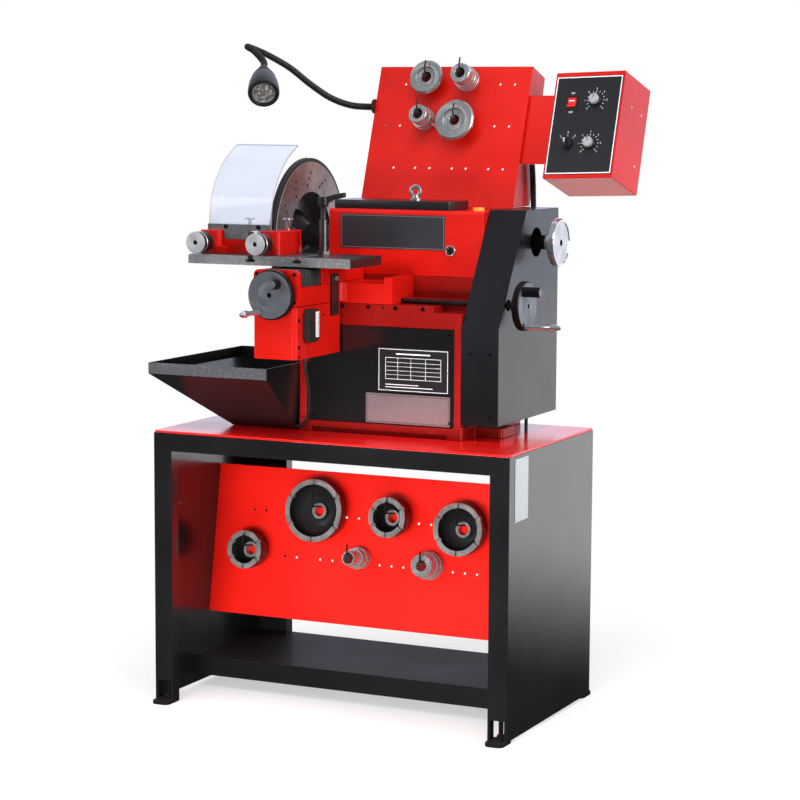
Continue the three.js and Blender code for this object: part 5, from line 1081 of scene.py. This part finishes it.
lathe("selector_base", [(0, -10), (3, -10), (3, 1.2), (13, 1.2), (13, 7), (12, 8), (0, 8)],
      on_box((0, *selector_place)), box_front, knob_black, "selector_group", ease=0.5, sides=48,
      replaced=["direction_selector"])
bar_of("selector_grip", on_box, rectangle((48, 73), (56, 95)), (5, 17), knob_black, "selector_group", ease=2.5,
       end_ease=1, slot="black_plastic", replaced=["direction_selector"])
raised("selector_mark", on_box, [rectangle((51, 84.5), (53, 94))], (16.8, 17.3), print_white, "selector_group",
       "black_plastic")


# Work lamp
# A black gooseneck of wound steel leaves the board's left side from a round flange, and ends in a black
# bell with cooling rings and a glass lens over a bright reflector. The reflector's glints are painted on
# the lens as pale flecks.
neck_black = rubbery("neck_black", (0.011, 0.011, 0.012), 0.42, 500)
neck_start = np.array((311.2, 535, 1392))
neck_steps = np.array([(-2.5, 0, 0), (-21.2, 0, -1), (-68.2, -2, 3), (-121.2, -5, 21), (-175.2, -8, 54),
                       (-228.2, -13, 93), (-279.2, -23, 122), (-306.2, -37, 136), (-319.2, -57, 143),
                       (-309.2, -80, 143), (-281.2, -98, 132)])
head_place, head_way = np.array((83, 385, 1481)), np.array((0.401935, -0.73588, -0.544911))
neck_route, _ = smooth_route(spot([*(neck_start + neck_steps), head_place - 32 * head_way, head_place]), 1100)
round_tube("gooseneck", neck_route, 0.0079, 22, neck_black, "bench", ribs=0.0006, pitch=0.0034, slot="black_paint",
           replaced=["lamp_arm"])
lathe("neck_flange", [(0, 5), (14, 5), (18, 3.4), (18, 0), (0, 0)], spot(neck_start), (-1, 0, 0), neck_black,
      "bench", replaced=["lamp_arm"])
lamp_line = [(0, 0.3), (11, 0.3), (12.5, 3), (14, 11), (19, 19), (17.5, 21), (22.5, 27), (21, 29), (26, 35),
             (24.5, 37), (29, 43), (30.5, 50), (35, 70), (37.6, 90), (38, 108), (36.5, 112), (31, 112), (28, 110),
             (26.5, 104.5), (0, 104.5)]
# Pale flecks in the lens are painted glints of the reflector behind it.
lens_with_painted_glints = cast_skin("lens_with_painted_glints", (0.16, 0.16, 0.155), 0.1, (0.85, 0.85, 0.83), 130)
lathe("lamp_bell", lamp_line, spot(head_place), head_way, neck_black, "lamp_head_group", ease=1.4,
      replaced=["lamp_head"])
lathe("lamp_glass", [(0, 109.5), (12, 108.8), (21, 107), (25.4, 105.2), (25.4, 104), (0, 104)], spot(head_place),
      head_way, lens_with_painted_glints, "lamp_head_group", ease=0.5)
lathe("lens_ring", [(25.2, 104.2), (25.4, 107.2), (27.2, 107.6), (27.6, 104.2)], spot(head_place), head_way,
      zinc_face, "lamp_head_group", ease=0.3, ring=True)


# Saddle and feed box
# Red castings: an arm that rides on the ways, a leg that reaches out to the operator with a rounded end
# plate, and the feed box under it. Socket screws hold the plate and the box.
edged("saddle_casting", "saddle", cast_red, "saddle_group", 0.0014, 3)
edged("feed_case", "feed_box", cast_red, "saddle_group", 0.0016, 3)
screws("plate_screw", [(x, -65, z) for z in (1020, 958) for x in (310.5, 405.5)], forwards, [4.2] * 4,
       "saddle_group")
screws("feed_screw", [(408, -50, 917), (408, -50, 857), (408, -50, 836), (408, 70, 922)], rightwards,
       [3.8, 3.8, 3.2, 2.6], "saddle_group")
lathe("gland", [(4, 9), (6.5, 9), (9.2, 5), (9.2, -1), (4, -1)], spot((392, 12, 829)), (0, 0, -1), neck_black,
      "saddle_group", ring=True, sides=32)


# Limit switch
# A black moulded body on the feed box, with a plunger behind and a white graduated strip in a dark
# frame on its right half.
switch_black = rubbery("switch_black", (0.013, 0.013, 0.014), 0.4, 600)
edged("switch_body", "limit_switch", switch_black, "saddle_group", 0.0018, 3)
raised("switch_strip", along("x"), [rectangle((1, 877), (17, 934))], (424.1, 425.0), print_white, "saddle_group",
       "black_plastic")
strip_ticks = [rectangle((9 if k % 5 else 5, 880 + 2.6 * k), (15.5, 880.9 + 2.6 * k)) for k in range(20)]
raised("switch_ticks", along("x"), strip_ticks, (424.9, 425.2), plate_black, "saddle_group", "black_plastic")
raised("switch_cover", along("x"), [rectangle((-27, 873), (-2, 934))], (424.1, 425.6), knob_black, "saddle_group",
       "black_plastic")


# Bellows
# Folded black rubberised cloth over the leg, in front of the cross slide: a cover of two sides and a
# top, whose wall moves in and out with each fold.
bellows_cloth = rubbery("bellows_cloth", (0.01, 0.01, 0.0105), 0.5, 700)
fold_count, fold_depth, cloth = 10, 5.5, 2.0
stations = np.linspace(0, 1, fold_count * 12 + 1)
fold = fold_depth * (1 - np.abs(np.sin(np.pi * fold_count * stations)) ** 0.8)


def cover_line(inset):
    """Half a ring of a fold: left foot, up, over the top and down to the right foot, drawn in by inset."""
    left, right, top, foot = 303.3 + inset, 405.7 - inset, 1028.8 - inset, np.full_like(inset, 990.4)
    corner = 5.0
    return np.stack([np.stack(pair, axis=-1) for pair in (
        (left, foot), (left, top - corner), (left + corner / 3, top - corner / 3), (left + corner, top),
        (right - corner, top), (right - corner / 3, top - corner / 3), (right, top - corner), (right, foot))], axis=1)


section = np.concatenate([cover_line(fold), cover_line(fold + cloth)[:, ::-1]], axis=1)
rows, columns = section.shape[:2]
from_front = np.broadcast_to((-49.4 + 111.8 * stations)[:, None, None], (rows, columns, 1))
places = np.concatenate([from_front, section], axis=-1).reshape(-1, 3)
bellows = piece("folded_cover", along("y")(places), tube_of(rows, columns), bellows_cloth, "saddle_group",
                slot="rubber", replaced=["bellows"], sharp=60)
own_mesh(bellows)


# Feed screws and their handwheels
# Each screw is a black rod with a rolled thread, and carries a turned handwheel with a black rim, a
# satin grey face, a black crank pin and a sunk socket in its middle.
def threaded(name, centre, axis, reach, radius, depth, pitch, material, body, slot):
    """A screw thread: a cylinder whose radius rises and falls as a triangle wave of the place along the
    axis less the angle round it, so that the wave winds on as a helix. Its ends are closed flat."""
    axis = np.asarray(axis, float)
    turn = full_turn(28)
    place = np.linspace(*reach, int((reach[1] - reach[0]) / pitch * 6) + 1)[:, None]
    wave = (place / pitch - turn / (2 * np.pi)) % 1
    swell = (radius - depth * np.abs(2 * wave - 1))[..., None] / 1000
    points = centre + swell * round_about(turn, *across(axis)) + place[..., None] / 1000 * axis
    piece(name, points.reshape(-1, 3), tube_of(len(place), len(turn)), material, body, slot, sharp=45)


wheel_grey = machined("wheel_grey", (0.2, 0.21, 0.235), 0.42, 2200, 0.15, metal=0.6)
screw_black = machined("screw_black", (0.09, 0.09, 0.095), 0.3, 2500, 0.6, False)
wheel_line = [(0, -45), (7, -45), (7, -34), (20, -34), (20, -12), (44, -12), (44, -18), (53, -18), (56, -14.5),
              (56, -3.5), (52.5, 0), (45, -0.2), (30, -1.2), (21, 0.6), (12, 1.6), (5, 1.6), (4, 0.6), (4, -4),
              (0, -4)]
wheel_bands = [1, 1, 0, 0, 0, 0, 0, 0, 0, 0, 2, 2, 2, 2, 2, 0, 0, 0, 0]
handle_line = [(0, 0), (6, 0), (7, 5), (7.2, 17), (5.8, 32), (5, 43), (6.2, 53), (8.3, 66), (7.7, 76), (5.2, 84),
               (2.6, 89.6), (0, 90)]
wheels = {
    "feed": ((850, 215, 948), rightwards, (-338, -46), (0, -27, 34), 42, (0.3, -22, -44), "lead_screw",
             "feed_handle"),
    "cross": ((357, -92, 975), forwards, (-292, -27), (17, 0, 25), 26, (-25, -0.3, -38), "cross_screw",
              "cross_handle"),
}
for name, (centre, axis, reach, crank_at, crank_long, handle_at, node, handle_node) in wheels.items():
    centre, body = np.array(centre, float), node + "_group"
    crank_line = [(0, -7), (11.5, -7), (11.5, crank_long - 2), (10.2, crank_long), (0, crank_long)]
    lathe(name + "_wheel", wheel_line, spot(centre), axis, [blackened, screw_black, wheel_grey], body, ease=0.5,
          bands=wheel_bands, replaced=[node])
    threaded(name + "_thread", spot(centre), axis, reach, 7.0, 1.1, 4.0, screw_black, body, "machined_steel")
    lathe(name + "_crank", crank_line, spot(centre + crank_at), axis, [blackened, wheel_grey], body,
          bands=[0, 0, 0, 1, 1], ease=0.4, sides=48)
    lathe(name + "_grip", handle_line, spot(centre + handle_at), axis, [blackened, chrome],
          handle_node + "_group", bands=[0, 0] + [1] * 10, ease=1.2, sides=48,
          replaced=[handle_node])


# Cross slide and trip bar
# A red casting slides on the leg's dovetail. The black trip bar that hangs from its side works the limit
# switch, and is held by a bright screw.
edged("slide_casting", "cross_slide", cast_red, "cross_slide_group", 0.0012, 3)
edged("trip_strip", "trip_bar", satin_black, "cross_slide_group", 0.0008)
lathe("trip_screw", [(0, 4.6), (2.6, 4.6), (2.6, 5.6), (4.8, 5.6), (5.4, 4.8), (5.4, -0.5), (0, -0.5)],
      spot((414.3, 120.5, 1002)), rightwards, bright_steel, "cross_slide_group", ease=0.3, sides=32)


# Tool plate and clamp post
# A cast plate with two T slots, planed on top and left rough and scraped at its edges. Its pale grey
# edges are scrapes and painted smeary highlights, and its left end is painted black for the shadow of
# the left knob. A steel post stands in the right slot, with a threaded top and a black clamp lever.
# The pale grey of the plate's edges is partly scraped metal and partly painted smeary highlights.
scrapes_and_highlights_cast = cast_skin("scrapes_and_highlights_cast", (0.17, 0.175, 0.185), 0.42, (0.33, 0.335, 0.35), 230)
planed_cast = cast_skin("planed_cast", (0.03, 0.03, 0.031), 0.34, (0.09, 0.09, 0.092), 150)
plate = edged("slotted_plate", "tool_plate", scrapes_and_highlights_cast, "cross_slide_group", 0.0008)
knob_shadow_end, plate_right, plate_under, plate_top = 92, 395, 1033, 1055
refinish(plate, planed_cast, lambda at, way: (way[:, 2] > 0.9) & (at[:, 2] < plate_top))
# The left end is painted black: a painted shadow of the left micrometer knob. The right end and the underside are
# black as well.
refinish(plate, black_cast,
         lambda at, way: (at[:, 0] > plate_right) | (at[:, 2] < plate_under) | (at[:, 0] < knob_shadow_end))
post_steel = machined("post_steel", (0.2, 0.2, 0.205), 0.3, 3000, 0.3, False)
refinish(plate, post_steel, lambda at, way: at[:, 2] > plate_top)
post_foot = spot((372, 140, 0))
threaded("post_thread", post_foot, upwards, (1124, 1163.5), 6.3, 0.9, 2.0, post_steel, "clamp_lever_group",
         "machined_steel")
lathe("lever_hub", [(0, 1163), (10.5, 1163), (12, 1165), (12, 1184), (10.5, 1186), (4, 1186.5), (0, 1186.5)],
      post_foot, upwards, satin_black, "clamp_lever_group", sides=48, replaced=["clamp_lever"])
bar_of("lever_arm", along("y"), [(372, 1170), (383, 1172), (400, 1180), (428, 1185.5), (428, 1197), (404, 1193),
                                 (384, 1187), (372, 1185.8)], (133.6, 146.4), satin_black, "clamp_lever_group",
       ease=3, end_ease=2.2, slot="black_paint", replaced=["clamp_lever"])


# Twin cutter
# A red casting with two bored arms and a bridge between them. Each arm holds a ground bar with a
# cutting tip, fed by a micrometer knob in front and clamped by a chromed T screw.
edged("cutter_casting", "cutter_body", cast_red, "cross_slide_group", 0.0013, 3)
edged("left_bar", "tool_bar_left", milled_steel, "left_bar_group", 0.0004)
edged("right_bar", "tool_bar_right", milled_steel, "right_bar_group", 0.0004)
knurled = machined("knurled", (0.1, 0.105, 0.1), 0.4, 9000, 0.4)
knob_profile = [(0, -5), (3.4, -5), (4, -3.5), (4.6, -0.4), (5.4, 0), (24.2, 0), (25, -1), (25, -11), (24.2, -12),
                (24.2, -13), (25, -14), (25, -16), (24.2, -17), (24.2, -34), (21, -34.5), (21, -48), (13, -48.5),
                (13, -64.7), (0, -64.7)]
knob_bands = [1, 1, 1, 1, 0, 0, 1, 1, 1, 2, 2, 2, 1, 1, 1, 1, 2, 2, 2]
for x, name in ((120, "micrometer_left"), (275, "micrometer_right")):
    side = name.split("_")[1]
    lathe(side + "_knob", knob_profile, spot((x, -10, 1081)), forwards, [zinc_face, knurled, bright_steel],
          side + "_micrometer_group", ease=0.3, bands=knob_bands, replaced=[name])
for name, (x, y, low) in {"arm": (275, 150, 1094.9), "body": (180, 140, 1058.2)}.items():
    shank = [(0, low), (3, low), (4, low + 1), (4, 1128), (4.8, 1129), (4.8, 1134), (0, 1134.6)]
    lathe(name + "_shank", shank, spot((x, y, 0)), upwards, chrome, name + "_screw_group", sides=32, ease=0.3,
          replaced=[name + "_screw"])
    lathe(name + "_cross_bar", [(0, -13.5), (2.6, -13), (2.6, 13), (0, 13.5)], spot((x, y, 1131.4)), rightwards,
          chrome, name + "_screw_group", sides=24, ease=1.2, replaced=[name + "_screw"])


# Guard and its bracket
# A sawn aluminium strip and block, screwed on with two black socket screws, hold a bent sheet of clear
# plastic. Its cut edges have a milkier, darker copy of its finish; the darker tint is painted shade.
def clear(name, tint, veil, sheen):
    """Clear plastic: mostly seen through, with a milky veil and a faint sheen."""
    made, tree = new_material(name)
    clouds = toned(tree, grains(tree, 14), [c * 0.8 for c in tint], tint)
    through = new_node(tree, "BsdfTransparent", {"Color": (*tint, 1)}).outputs[0]
    milky = new_node(tree, "BsdfDiffuse", {"Color": clouds}).outputs[0]
    gloss = new_node(tree, "BsdfAnisotropic", {"Roughness": 0.08}).outputs[0]
    veiled = new_node(tree, "MixShader", {"Fac": veil, 1: through, 2: milky}).outputs[0]
    shown(tree, "MixShader", {"Fac": sheen, 1: veiled, 2: gloss})
    return made


sawn = machined("sawn", (0.42, 0.43, 0.45), 0.5, 3200, 0.4, False)
edged("sawn_strip", "guard_bracket", sawn, "cross_slide_group", 0.0005)
screws("strip_screw", [(155, 70, 1115.5), (241, 70, 1115.5)], forwards, [5.0] * 2, "cross_slide_group")
clear_face = clear("clear_face", (0.87, 0.9, 0.97), 0.26, 0.04)
# The cut edges' darker tint is painted shade, for how light runs through the sheet to its edges.
shaded_clear_edge = clear("shaded_clear_edge", (0.42, 0.46, 0.54), 0.75, 0.1)
sheet_top = 1300.2
guard_sheet = edged("guard_sheet", "guard", clear_face, "cross_slide_group", 0.0003, 1)
refinish(guard_sheet, shaded_clear_edge, lambda at, way: (np.abs(way[:, 0]) > 0.9) | (at[:, 2] > sheet_top))


# Plate on the bench's side
# A thin sheet of pale aluminium lies flat on the bench's right side panel, with a small round rivet at
# each corner.
bar_of("side_plate", along("x"), rectangle((31, 487), (106, 627)), (899.9, 900.7), plate_pale, "bench", ease=2,
       slot="aluminium")
rivets("side_rivet", [(900.6, y, z) for z in (492, 622) for y in (35, 102)], rightwards, 1.0)


out = {"cad": [list(cad_low), list(cad_high)], "visual": [list(corner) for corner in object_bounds()]}
